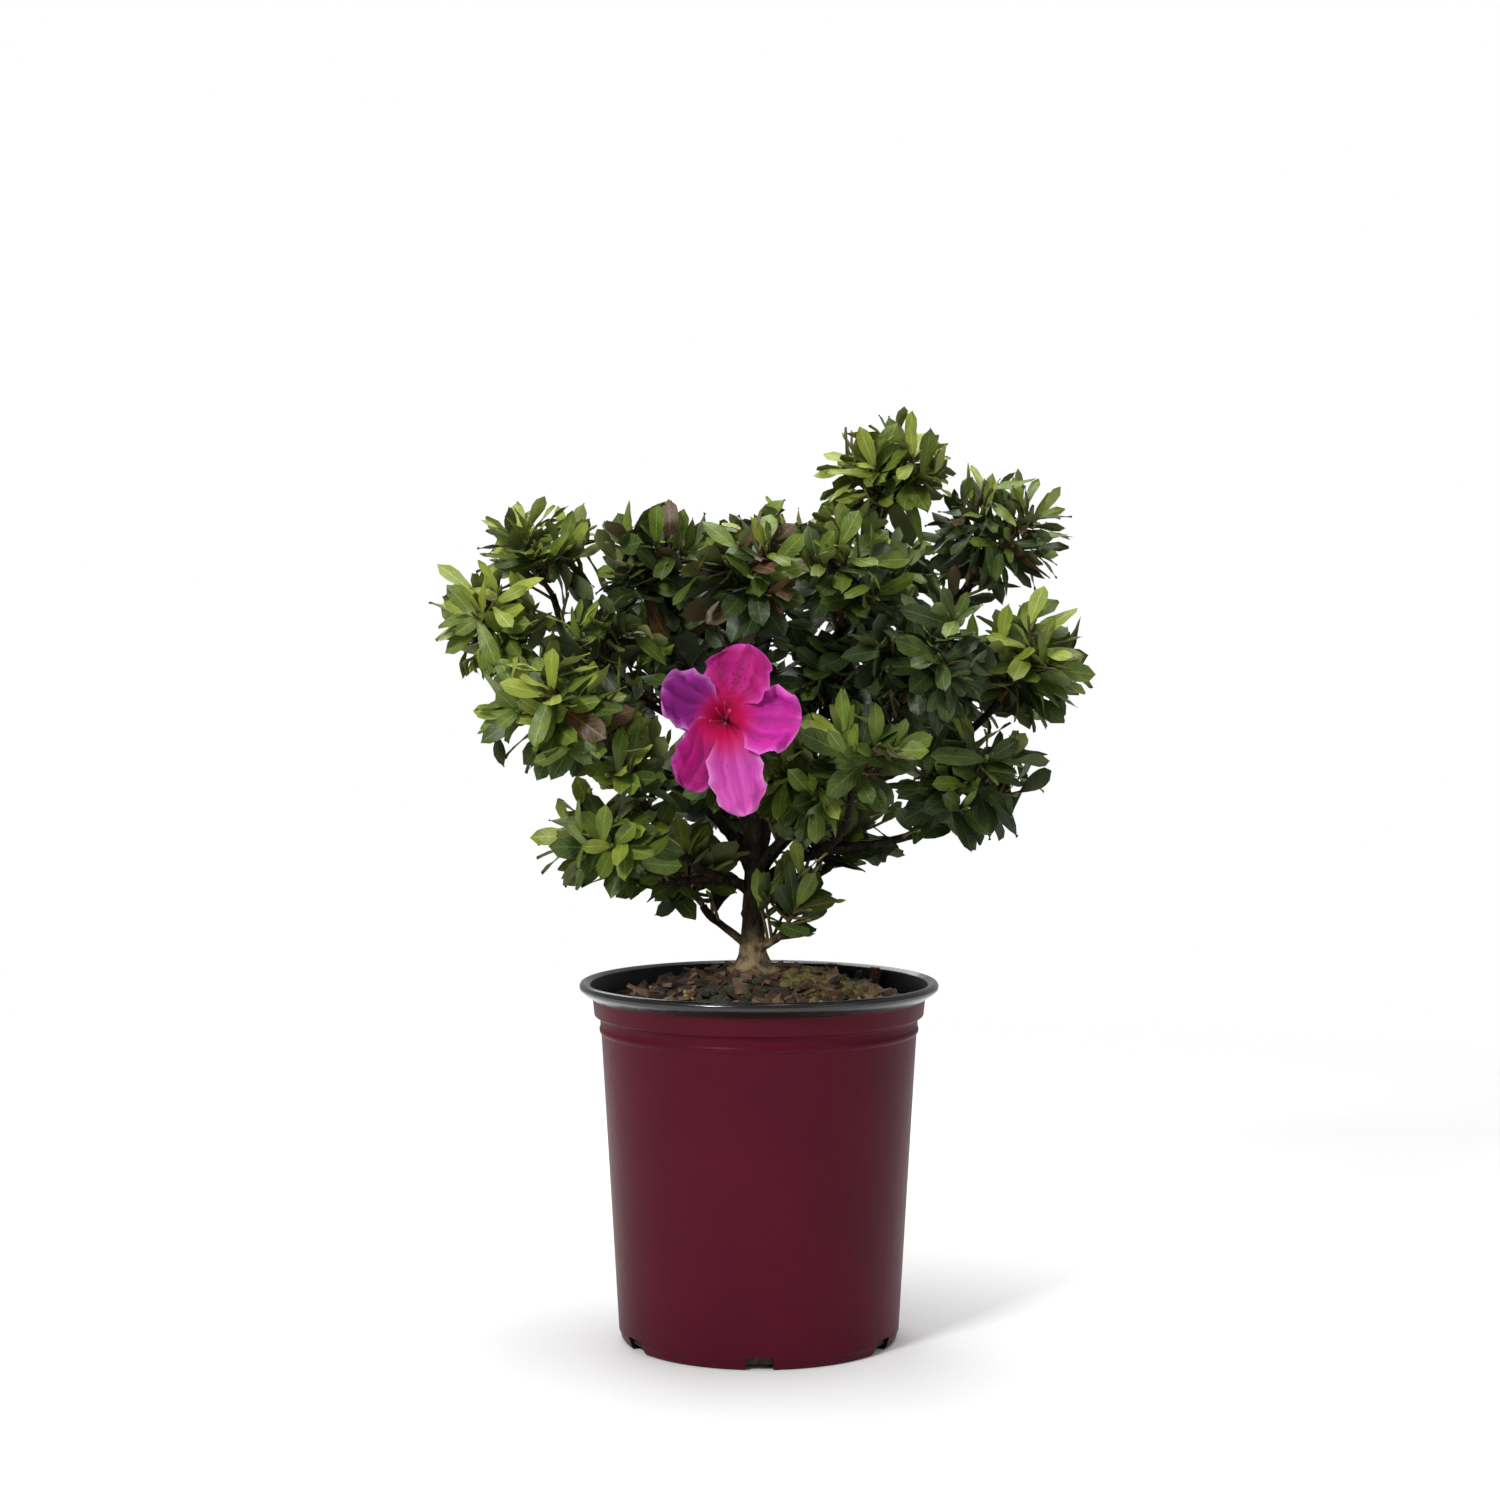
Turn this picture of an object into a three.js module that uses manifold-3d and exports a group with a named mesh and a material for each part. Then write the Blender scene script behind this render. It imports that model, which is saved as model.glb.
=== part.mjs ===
// A young azalea in a moulded nursery pot, in millimetres.
// +Z is up, the origin is the centre of the pot's flat underside, and the flowering side faces -Y.
import * as THREE from "three";
import { mergeVertices } from "three/addons/utils/BufferGeometryUtils.js";
import Module from "manifold-3d";

const wasm = await Module();
wasm.setup();

const gap = 0.3; // between two pieces that meet
const margin = 0.6; // between a spray and the plane towards the next one
const smallest = 0.25; // a bump or dent finer than this is smoothed away

// The pot: a tapered wall, a collar below the rim, and a lip that flares outwards.
const pot = {
  height: 216,
  footRadius: 83.5,
  shoulderRadius: 95.4,
  shoulderHeight: 194,
  collarRadius: 99,
  collarHeight: 12,
  lipRadius: 108,
  lipWidth: 6.5,
  lipDrop: 8,
  wall: 1.8,
  floor: 3,
  edge: 2.5,
  sides: 36,
  drains: 6,
  drainWidth: 16,
  drainHeight: 8,
  drainDepth: 22,
};

// The potting mix: heaped round the trunk, lower at the pot's wall.
const soil = { crown: 222, crownRadius: 21, wallLevel: 203, rings: 5, sides: 30 };

// The trunk, from a flat cut on the potting mix to its fork.
const trunk = {
  foot: new THREE.Vector3(-4, 0, soil.crown + gap),
  rise: 62,
  lean: new THREE.Vector3(2, -1.5, 0),
  flareRadius: 14,
  flareHeight: 8,
  neckRadius: 6.7,
  forkRadius: 6.5,
  sides: 10,
  steps: 7,
};

// Boughs taper to the stem that the foliage grows from, and lift towards their tips.
const bough = {
  tipRadius: 2.2,
  sides: 5,
  stepLength: 36,
  leastSteps: 4,
  leaves: 0.38,
  arrives: 0.3,
  enters: 0.72,
  lift: 0.45,
};

// A spray's twigs: straight, three-sided, and each ending in a shoot.
const twig = { footRadius: 2.2, tipRadius: 1.9, sides: 3, clear: 2.4, forks: 0.5, lowest: 0.12 };
const shoot = { inset: 0.5, least: 8, top: 0.75, drop: 1.35, spread: 137.5, wobble: 40, turn: 50 };
const fullness = 1.25; // how far past its reach a spray may grow, as a squared share

// A leaf is widest past its middle, and its root is sunk into the twig.
const leaf = {
  length: 44,
  width: 19,
  thickness: 1.2,
  foot: 0.08,
  widest: 0.64,
  arch: 0.07,
  sunk: 0.8,
};
const whorl = {
  leaves: 8,
  height: 12,
  top: 1.2,
  lowest: 0.3,
  lowTilt: 90,
  highTilt: 32,
  shortest: 0.74,
  sizes: [0.86, 1.08],
  spread: 137.5,
  wobble: 9,
  clear: 1.3,
};

// What a leaf tries in turn before it is left out: a smaller size, a rise, a turn round its shoot.
const tries = { sizes: [1, 0.86, 0.74], rises: [0, 16], turns: [0, 22, -22, 44, -44] };

// The open flower: a funnel that spreads into five lobes. Its profile is drawn as radius and height,
// every lobe has a reach of its own, and the sides of a lobe fall short of its tip.
const flower = {
  spray: "blossom",
  throat: new THREE.Vector3(-17.5, -94, 369),
  looks: new THREE.Vector3(-0.05, -1, 0.12),
  roll: -15,
  profile: [[0, 0], [2.4, 0], [9, 22], [40, 31], [40, 32.6], [10, 25], [0, 8]],
  rim: 40,
  rimHeight: 31,
  lobes: [1.2, 1, 1.08, 0.92, 1.02],
  sides: [0.58, 0.93, 1, 0.93],
  curl: 5,
  stalk: { leaves: 0.7, radius: 1.8 },
};

// Every spray of foliage: its middle (heading round the trunk in degrees, distance out, height), how far
// it reaches across, deep and up, and its number of shoots.
const sprays = [
  { name: "centre_top", heading: -94, out: 66, height: 459, reach: [40, 42, 46], shoots: 4 },
  { name: "spire", heading: 0, out: 84, height: 518, reach: [40, 40, 44], shoots: 5 },
  { name: "left_tip", heading: -175, out: 155, height: 430, reach: [36, 38, 42], shoots: 4 },
  { name: "right_tip", heading: -3, out: 165, height: 409, reach: [40, 42, 46], shoots: 4 },
  { name: "centre_left_top", heading: -154, out: 63, height: 465, reach: [42, 42, 42], shoots: 4 },
  { name: "centre_back", heading: 86, out: 118, height: 380, reach: [48, 46, 50], shoots: 4 },
  { name: "right_low", heading: -8, out: 135, height: 338, reach: [46, 44, 44], shoots: 4 },
  { name: "left_low", heading: -150, out: 100, height: 304, reach: [48, 44, 37], shoots: 4 },
  { name: "front_right", heading: -65, out: 72, height: 342, reach: [32, 36, 40], shoots: 3 },
  { name: "low_right", heading: 8, out: 64, height: 305, reach: [36, 34, 30], shoots: 2 },
  { name: "low_stem_right", heading: -44, out: 38, height: 266, reach: [28, 26, 32], shoots: 2 },
  { name: "low_stem_left", heading: -170, out: 39, height: 280, reach: [31, 27, 29], shoots: 2 },
  { name: "left_top", heading: 171, out: 131, height: 474, reach: [40, 40, 36], shoots: 4 },
  { name: "left_mid", heading: -146, out: 138, height: 381, reach: [48, 42, 42], shoots: 4 },
  { name: "left_back", heading: 138, out: 142, height: 389, reach: [46, 46, 46], shoots: 4 },
  { name: "left_inner", heading: -155, out: 101, height: 420, reach: [38, 36, 40], shoots: 2 },
  { name: "left_front_low", heading: -138, out: 98, height: 348, reach: [34, 34, 32], shoots: 2 },
  { name: "centre_left_back", heading: 117, out: 120, height: 424, reach: [42, 44, 44], shoots: 3 },
  { name: "centre_top_back", heading: 79, out: 71, height: 470, reach: [42, 46, 40], shoots: 4 },
  { name: "right_top", heading: 6, out: 150, height: 487, reach: [46, 42, 44], shoots: 4 },
  { name: "right_top_inner", heading: -41, out: 76, height: 457, reach: [44, 42, 46], shoots: 4 },
  { name: "right_back_top", heading: 50, out: 122, height: 455, reach: [44, 44, 44], shoots: 3 },
  { name: "right_centre", heading: -41, out: 124, height: 412, reach: [46, 42, 46], shoots: 4 },
  { name: "centre_right", heading: -40, out: 68, height: 408, reach: [36, 34, 40], shoots: 2 },
  { name: "right_back", heading: 40, out: 147, height: 389, reach: [48, 46, 46], shoots: 4 },
  { name: "right_front_low", heading: -56, out: 112, height: 360, reach: [38, 38, 36], shoots: 3 },
  { name: "low_back", heading: 97, out: 84, height: 322, reach: [46, 42, 40], shoots: 3 },
  { name: "blossom", heading: -99, out: 96, height: 364, reach: [36, 36, 42], shoots: 2 },
];

// The limb that each bough forks off, how far along it, and the bough's girth at the fork.
const forks = {
  centre_top: { from: "trunk", at: 1, girth: 4.6 },
  spire: { from: "trunk", at: 0.95, girth: 4.6 },
  left_tip: { from: "trunk", at: 0.9, girth: 4.3 },
  right_tip: { from: "trunk", at: 0.86, girth: 4.2 },
  centre_left_top: { from: "trunk", at: 0.97, girth: 4 },
  centre_back: { from: "trunk", at: 0.88, girth: 3.9 },
  right_low: { from: "trunk", at: 0.74, girth: 3.7 },
  left_low: { from: "trunk", at: 0.7, girth: 3.7 },
  front_right: { from: "trunk", at: 0.8, girth: 3.6 },
  low_right: { from: "trunk", at: 0.6, girth: 3.2 },
  low_stem_right: { from: "trunk", at: 0.08, girth: 2.6 },
  low_stem_left: { from: "trunk", at: 0.1, girth: 2.6 },
  left_top: { from: "left_tip", at: 0.5, girth: 3.2 },
  left_mid: { from: "left_tip", at: 0.36, girth: 3.4 },
  left_back: { from: "left_tip", at: 0.3, girth: 3.6 },
  left_inner: { from: "centre_left_top", at: 0.42, girth: 3 },
  left_front_low: { from: "left_low", at: 0.34, girth: 3 },
  centre_left_back: { from: "centre_left_top", at: 0.34, girth: 3.4 },
  centre_top_back: { from: "centre_top", at: 0.42, girth: 3.4 },
  right_top: { from: "spire", at: 0.3, girth: 3.6 },
  right_top_inner: { from: "spire", at: 0.48, girth: 3.2 },
  right_back_top: { from: "spire", at: 0.36, girth: 3.4 },
  right_centre: { from: "right_tip", at: 0.4, girth: 3.4 },
  centre_right: { from: "spire", at: 0.2, girth: 3 },
  right_back: { from: "right_tip", at: 0.3, girth: 3.6 },
  right_front_low: { from: "right_low", at: 0.36, girth: 3 },
  low_back: { from: "trunk", at: 0.64, girth: 3.6 },
  blossom: { from: "centre_top", at: 0.24, girth: 3.2 },
};

const colours = {
  pot: new THREE.MeshStandardMaterial({ color: 0x57212f, roughness: 0.42 }),
  soil: new THREE.MeshStandardMaterial({ color: 0x3c3224, roughness: 0.95 }),
  bark: new THREE.MeshStandardMaterial({ color: 0x5a4a38, roughness: 0.85 }),
  foliage: new THREE.MeshStandardMaterial({ color: 0x3f5626, roughness: 0.5 }),
  blossom: new THREE.MeshStandardMaterial({ color: 0xc23aa0, roughness: 0.55 }),
};

const up = new THREE.Vector3(0, 0, 1);
const radians = THREE.MathUtils.degToRad;
const mix = THREE.MathUtils.lerp;

// A repeatable stream of numbers from 0 to 1.
function seeded(seed) {
  let state = seed;
  return () => {
    state = (state * 48271) % 2147483647;
    return state / 2147483647;
  };
}

// A closed geometry as a solid that can be joined and cut.
function solid(geometry) {
  const bare = geometry.clone();
  bare.deleteAttribute("normal");
  bare.deleteAttribute("uv");
  const merged = mergeVertices(bare, 1e-4);
  return new wasm.Manifold(
    new wasm.Mesh({
      numProp: 3,
      vertProperties: new Float32Array(merged.attributes.position.array),
      triVerts: new Uint32Array(merged.index.array),
    }),
  );
}

// The largest body of a solid, with nothing loose and no sealed hollow, as a named mesh.
function piece(name, shape, material) {
  const bodies = shape.asOriginal().simplify(smallest).decompose();
  const mesh = bodies.sort((a, b) => b.volume() - a.volume())[0].getMesh();
  const geometry = new THREE.BufferGeometry();
  geometry.setAttribute("position", new THREE.BufferAttribute(mesh.vertProperties, 3));
  geometry.setIndex(new THREE.BufferAttribute(mesh.triVerts, 1));
  geometry.computeVertexNormals();
  const made = new THREE.Mesh(geometry, material);
  made.name = name;
  return made;
}

// A round bar that follows a curve, with its radius given along it and flat ends square to it. A bar that
// goes on from another one at an angle has its first end square to that one.
function bar(curve, radiusAt, { sides, steps = 1, grow = 0, leaving = curve.getTangent(0) }) {
  const shape = new THREE.CylinderGeometry(1, 1, 1, sides, steps);
  const frames = framesAlong(curve, steps, leaving);
  const position = shape.attributes.position;
  for (let i = 0; i < position.count; i++) {
    const part = position.getY(i) + 0.5;
    const { middle, side, over } = frames[Math.round(part * steps)];
    const radius = radiusAt(part) + grow;
    const moved = middle
      .clone()
      .addScaledVector(side, position.getX(i) * radius)
      .addScaledVector(over, position.getZ(i) * radius);
    position.setXYZ(i, moved.x, moved.y, moved.z);
  }
  return solid(shape);
}

// Points along a curve, each with two directions across it that don't twist.
function framesAlong(curve, steps, leaving) {
  let side = perpendicular(leaving);
  return Array.from({ length: steps + 1 }, (_, i) => {
    const along = i === 0 ? leaving : curve.getTangent(i / steps);
    side = side.clone().addScaledVector(along, -side.dot(along)).normalize();
    return { middle: curve.getPoint(i / steps), side, over: side.clone().cross(along) };
  });
}

function perpendicular(direction) {
  const across = new THREE.Vector3(0, 1, 0);
  if (Math.abs(direction.y) > 0.9) across.set(1, 0, 0);
  return across.addScaledVector(direction, -across.dot(direction)).normalize();
}

// A leaf of six faces: a flat underside from root to tip by way of its two edges, under a raised midrib.
function leafSolid({ root, along, face, length, width }) {
  const across = face.clone().cross(along);
  const at = (part, side, rise) =>
    root
      .clone()
      .addScaledVector(along, part * length - leaf.sunk * (1 - part))
      .addScaledVector(across, (side * width) / 2)
      .addScaledVector(face, rise);
  const corners = [
    at(0, 0, 0),
    at(leaf.widest, 1, 0),
    at(leaf.widest, -1, 0),
    at(1, 0, -leaf.arch * length),
    at(leaf.widest, 0, leaf.thickness),
  ];
  const shape = new THREE.BufferGeometry().setFromPoints(corners);
  shape.setIndex([0, 1, 2, 2, 1, 3, 0, 4, 1, 0, 2, 4, 3, 1, 4, 3, 4, 2]);
  return solid(shape);
}

// A direction tilted away from an axis, at a turn round it.
function tilted(axis, tilt, turn) {
  const side = perpendicular(axis);
  const over = axis.clone().cross(side);
  return axis
    .clone()
    .multiplyScalar(Math.cos(radians(tilt)))
    .addScaledVector(side, Math.sin(radians(tilt)) * Math.cos(radians(turn)))
    .addScaledVector(over, Math.sin(radians(tilt)) * Math.sin(radians(turn)));
}

// The part of a direction that stands square to another one.
function squareTo(direction, along) {
  return direction.clone().addScaledVector(along, -direction.dot(along)).normalize();
}

// The trunk's curve and girth.
const trunkTop = trunk.foot.clone().add(trunk.lean).setZ(trunk.foot.z + trunk.rise);
const trunkCurve = new THREE.QuadraticBezierCurve3(
  trunk.foot,
  trunk.foot.clone().setZ(trunk.foot.z + trunk.rise / 2),
  trunkTop,
);
const limbs = new Map();
limbs.set("trunk", {
  curve: trunkCurve,
  radiusAt: (part) =>
    mix(trunk.neckRadius, trunk.forkRadius, part) +
    (trunk.flareRadius - trunk.neckRadius) * Math.exp((-part * trunk.rise) / trunk.flareHeight),
  sides: trunk.sides,
  steps: trunk.steps,
});

// Each spray's middle, and its bough from the fork to the edge of the spray.
for (const [index, spray] of sprays.entries()) {
  const { from, at, girth } = forks[spray.name];
  const heading = radians(spray.heading);
  spray.middle = new THREE.Vector3(
    trunk.foot.x + spray.out * Math.cos(heading),
    trunk.foot.y + spray.out * Math.sin(heading),
    spray.height,
  );
  spray.span = (spray.reach[0] + spray.reach[1] + spray.reach[2]) / 3;
  spray.turn = shoot.turn * index;
  const parent = limbs.get(from).curve;
  const start = parent.getPoint(at);
  const leaving = parent.getTangent(at);
  const towards = spray.middle.clone().sub(start).normalize();
  const arriving = towards.clone().addScaledVector(up, bough.lift).normalize();
  const end = spray.middle.clone().addScaledVector(arriving, -spray.span * bough.enters);
  const length = start.distanceTo(end);
  const curve = new THREE.CubicBezierCurve3(
    start,
    start.clone().addScaledVector(leaving.lerp(towards, 0.5).normalize(), length * bough.leaves),
    end.clone().addScaledVector(arriving, -length * bough.arrives),
    end,
  );
  spray.arriving = arriving;
  spray.foot = end.clone().addScaledVector(arriving, gap);
  limbs.set(spray.name, {
    curve,
    radiusAt: (part) => mix(girth, bough.tipRadius, Math.sqrt(part)),
    sides: bough.sides,
    steps: Math.max(bough.leastSteps, Math.round(length / bough.stepLength)),
  });
}

// Straight stretches of every limb, for telling how far a point is from the wood.
const stretchCount = 12;
const stretches = [];
for (const [name, limb] of limbs) {
  for (let i = 0; i < stretchCount; i++) {
    const [from, to] = [i / stretchCount, (i + 1) / stretchCount];
    const line = new THREE.Line3(limb.curve.getPoint(from), limb.curve.getPoint(to));
    stretches.push({ name, line, radius: Math.max(limb.radiusAt(from), limb.radiusAt(to)) });
  }
}
const limbLines = stretches.map(({ line }) => [line.start, line.end]);

function clearOfLimbs(points, distance, except) {
  const nearest = new THREE.Vector3();
  return stretches.every(({ name, line, radius }) => {
    if (name === except) return true;
    const least = radius + distance;
    return points.every((p) => line.closestPointToPoint(p, true, nearest).distanceTo(p) > least);
  });
}

// A spray keeps to its own space: its reach, on its own side of the plane towards every other spray.
function keepsToSpace(points, spray) {
  const [across, deep, tall] = spray.reach;
  return points.every((p) => {
    const from = p.clone().sub(spray.middle);
    if ((from.x / across) ** 2 + (from.y / deep) ** 2 + (from.z / tall) ** 2 > fullness) return false;
    return sprays.every((other) => {
      if (other === spray) return true;
      const own = p.distanceToSquared(spray.middle) - spray.span ** 2;
      const its = p.distanceToSquared(other.middle) - other.span ** 2;
      return its - own > 2 * margin * spray.middle.distanceTo(other.middle);
    });
  });
}

// Shoot tips on a spiral through the spray's space, the one farthest from the bough first.
function shootTips(spray, draw) {
  const inner = spray.reach.map((r) => Math.max(r - leaf.length * shoot.inset, shoot.least));
  return Array.from({ length: spray.shoots }, (_, i) => {
    const level = shoot.top - (shoot.drop * (i + 0.5)) / spray.shoots;
    const turn = radians(spray.turn + i * shoot.spread + shoot.wobble * (draw() - 0.5));
    const round = Math.sqrt(1 - level * level);
    const place = [round * Math.cos(turn), round * Math.sin(turn), level];
    const offset = place.map((c, axis) => c * inner[axis] * (0.9 + 0.2 * draw()));
    const tip = spray.middle.clone().add(new THREE.Vector3(...offset));
    return { tip, far: tip.distanceTo(spray.foot) };
  }).sort((a, b) => b.far - a.far);
}

// The stem runs to the farthest shoot tip, and the other shoots fork off it in turn.
function growTwigs(spray, draw) {
  const [leader, ...others] = shootTips(spray, draw);
  const stem = new THREE.LineCurve3(spray.foot, leader.tip);
  const twigs = [{ curve: stem, from: twig.footRadius, leaving: spray.arriving }];
  for (const { tip, far } of others) {
    const part = Math.max((twig.forks * far) / leader.far, twig.lowest);
    const curve = new THREE.LineCurve3(stem.getPoint(part), tip);
    twigs.push({ curve, from: mix(twig.footRadius, twig.tipRadius, part) });
  }
  return twigs.filter(({ curve }) => {
    const [near, far] = [[0.1, 0.2, 0.3], [0.4, 0.5, 0.6, 0.7, 0.8, 0.9, 1]].map((parts) =>
      parts.map((part) => curve.getPoint(part)),
    );
    if (!clearOfLimbs(near, twig.clear, spray.name) || !clearOfLimbs(far, twig.clear)) return false;
    return keepsToSpace(far, spray);
  });
}

// Leaves in a spiral round each shoot's end, flat at the bottom and upright at the top.
function growLeaves(spray, twigs, draw) {
  const leaves = [];
  for (const { curve } of twigs) {
    const length = curve.getLength();
    const start = 360 * draw();
    for (let i = 0; i < whorl.leaves; i++) {
      const level = i / (whorl.leaves - 1);
      const part = Math.max(1 - mix(whorl.height, whorl.top, level) / length, whorl.lowest);
      const wanted = {
        root: curve.getPoint(part),
        points: curve.getTangent(part),
        tilt: mix(whorl.lowTilt, whorl.highTilt, level) + 2 * whorl.wobble * (draw() - 0.5),
        turn: start + i * whorl.spread + 2 * whorl.wobble * (draw() - 0.5),
        length: leaf.length * mix(1, whorl.shortest, level) * mix(...whorl.sizes, draw()),
      };
      const made = fitLeaf(spray, wanted, leaves, twigs);
      if (made) leaves.push(made);
    }
  }
  return leaves;
}

// A leaf that would leave its space, touch a limb or pass through another leaf is left out after its tries.
function fitLeaf(spray, { root, points, tilt, turn, length: longest }, grown, twigs) {
  for (const size of tries.sizes) {
    for (const rise of tries.rises) {
      for (const turned of tries.turns) {
        const along = tilted(points, tilt - rise, turn + turned);
        const face = squareTo(points, along);
        const made = leafOutline({ root, along, face, length: longest * size });
        if (fits(made, spray, grown, twigs)) return made;
      }
    }
  }
  return null;
}

function fits({ spots, edges, faces }, spray, grown, twigs) {
  if (!keepsToSpace(spots, spray) || !clearOfLimbs(spots, whorl.clear)) return false;
  const wood = [...limbLines, ...twigs.map(({ curve }) => [curve.v1, curve.v2])];
  if (passes(wood, faces)) return false;
  return ![bloom, ...grown].some((other) => passes(edges, other.faces) || passes(other.edges, faces));
}

// A leaf with its edges and halves from just past its root, and the spots that have to keep clear.
function leafOutline({ root, along, face, length }) {
  const width = (length * leaf.width) / leaf.length;
  const across = face.clone().cross(along);
  const at = (part, side, drop) =>
    root
      .clone()
      .addScaledVector(along, length * part)
      .addScaledVector(across, (side * width) / 2)
      .addScaledVector(face, -drop * length);
  const [foot, tip] = [at(leaf.foot, 0, 0), at(1, 0, leaf.arch)];
  const [left, right] = [at(leaf.widest, 1, 0), at(leaf.widest, -1, 0)];
  const edges = [[foot, left], [left, tip], [foot, right], [right, tip], [foot, tip]];
  const faces = [[foot, left, tip], [foot, right, tip]];
  const quarters = [0.25, 0.5, 0.75, 1];
  const spots = edges.flatMap(([from, to]) => quarters.map((part) => from.clone().lerp(to, part)));
  return { root, along, face, length, width, edges, faces, spots };
}

// Whether any of these lines passes through any of these triangles.
function passes(lines, triangles) {
  const hit = new THREE.Vector3();
  return lines.some(([from, to]) => {
    const ray = new THREE.Ray(from, to.clone().sub(from).normalize());
    const length = from.distanceTo(to);
    const meets = ([a, b, c]) => ray.intersectTriangle(a, b, c, false, hit) && hit.distanceTo(from) < length;
    return triangles.some(meets);
  });
}

// The flower's throat, the way it looks and two directions across it.
function frameOfFlower() {
  const axis = flower.looks.clone().normalize();
  const across = tilted(axis, 90, flower.roll);
  return { throat: flower.throat, axis, across, over: across.clone().cross(axis) };
}

// The flower as flat faces from its throat to its rim, which no leaf crosses.
function flowerOutline() {
  const count = flower.sides.length * flower.lobes.length;
  const rim = Array.from({ length: count }, (_, i) => inFlower(i, flower.rim, flower.rimHeight, true));
  const edges = rim.map((point) => [flowerFrame.throat, point]);
  return { edges, faces: rim.map((point, i) => [flowerFrame.throat, point, rim[(i + 1) % count]]) };
}

// The flower on its stalk. The rim reaches as far as the lobe on that side does, and curls back there.
function flowerSolids(stem) {
  const { profile, rim, sides, lobes, stalk } = flower;
  const { throat, axis } = flowerFrame;
  const points = profile.map(([r, z]) => new THREE.Vector2(r, z));
  const corolla = new THREE.LatheGeometry(points, sides.length * lobes.length);
  const position = corolla.attributes.position;
  for (let i = 0; i < position.count; i++) {
    const [radius, height] = profile[i % profile.length];
    const moved = inFlower(Math.floor(i / profile.length), radius, height, radius === rim);
    position.setXYZ(i, moved.x, moved.y, moved.z);
  }
  const inside = throat.clone().addScaledVector(axis, stalk.radius);
  const stalkCurve = new THREE.LineCurve3(stem.getPoint(stalk.leaves), inside);
  return [bar(stalkCurve, () => stalk.radius, { sides: twig.sides }), solid(corolla)];
}

// A point of the flower on one of its sides, at a radius and height from its throat.
function inFlower(side, radius, height, onRim) {
  const { throat, axis, across, over } = flowerFrame;
  const { sides, lobes } = flower;
  const turn = (side / (sides.length * lobes.length)) * 2 * Math.PI;
  const lobe = lobes[Math.floor(side / sides.length) % lobes.length] * sides[side % sides.length];
  const reach = onRim ? lobe : 1;
  return throat
    .clone()
    .addScaledVector(across, radius * reach * Math.sin(turn))
    .addScaledVector(over, radius * reach * Math.cos(turn))
    .addScaledVector(axis, height - (onRim ? flower.curl * lobe : 0));
}

function makePot() {
  const inner = pot.wall;
  const collarTop = pot.shoulderHeight + pot.collarHeight;
  const lipFoot = pot.height - pot.lipDrop;
  const profile = [
    [0, 0],
    [pot.footRadius - pot.edge, 0],
    [pot.footRadius, pot.edge],
    [pot.shoulderRadius, pot.shoulderHeight],
    [pot.collarRadius, pot.shoulderHeight + 2],
    [pot.collarRadius + 1, collarTop],
    [pot.lipRadius - 1.5, lipFoot + 2.5],
    [pot.lipRadius, lipFoot + 5],
    [pot.lipRadius - 0.6, pot.height - 0.8],
    [pot.lipRadius - 2.4, pot.height],
    [pot.lipRadius - pot.lipWidth, pot.height - 1.6],
    [pot.collarRadius + 1 - inner, collarTop - 1],
    [pot.collarRadius - inner, pot.shoulderHeight + 3],
    [pot.shoulderRadius - inner, pot.shoulderHeight],
    [pot.footRadius - inner, pot.floor],
    [0, pot.floor],
  ].map(([r, z]) => new THREE.Vector2(r, z));
  let shell = solid(new THREE.LatheGeometry(profile, pot.sides).rotateX(Math.PI / 2));
  // Drain slots through the corner between wall and floor.
  for (let i = 0; i < pot.drains; i++) {
    const slot = new THREE.BoxGeometry(pot.drainDepth, pot.drainWidth, 2 * pot.drainHeight);
    slot.translate(pot.footRadius, 0, 0).rotateZ(((i + 0.5) * 2 * Math.PI) / pot.drains);
    shell = shell.subtract(solid(slot));
  }
  return piece("pot", shell, colours.pot);
}

function makeSoil() {
  const wallSlope = (pot.shoulderRadius - pot.footRadius) / (pot.shoulderHeight - pot.edge);
  const wallRadius = (z) => pot.footRadius + wallSlope * (z - pot.edge) - pot.wall - 2 * gap;
  const bottom = pot.floor + gap;
  const rimRadius = pot.collarRadius - pot.wall - 2 * gap;
  const profile = [
    new THREE.Vector2(0, bottom),
    new THREE.Vector2(wallRadius(bottom), bottom),
    new THREE.Vector2(wallRadius(pot.shoulderHeight), pot.shoulderHeight),
    new THREE.Vector2(rimRadius, pot.shoulderHeight + 4),
    new THREE.Vector2(rimRadius, soil.wallLevel),
  ];
  for (let i = 1; i < soil.rings; i++) {
    const part = i / (soil.rings - 1);
    const fall = (1 + Math.cos(Math.PI * (1 - part))) / 2;
    profile.push(
      new THREE.Vector2(mix(rimRadius, soil.crownRadius, part), mix(soil.wallLevel, soil.crown, fall)),
    );
  }
  profile.push(new THREE.Vector2(0, soil.crown));
  const body = new THREE.LatheGeometry(profile, soil.sides).rotateX(Math.PI / 2);
  return piece("potting_mix", solid(body), colours.soil);
}

// Trunk and boughs, each cut clear of the limbs that were there before it.
function makeLimbs() {
  const made = [];
  const taken = [];
  for (const [name, limb] of limbs) {
    const { curve, radiusAt, sides, steps } = limb;
    let shape = bar(curve, radiusAt, { sides, steps });
    for (const other of taken) shape = shape.subtract(other);
    const nodeName = name === "trunk" ? name : `bough_${name}`;
    made.push(piece(nodeName, shape, colours.bark));
    taken.push(bar(curve, radiusAt, { sides, steps, grow: gap }));
  }
  return made;
}

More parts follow.
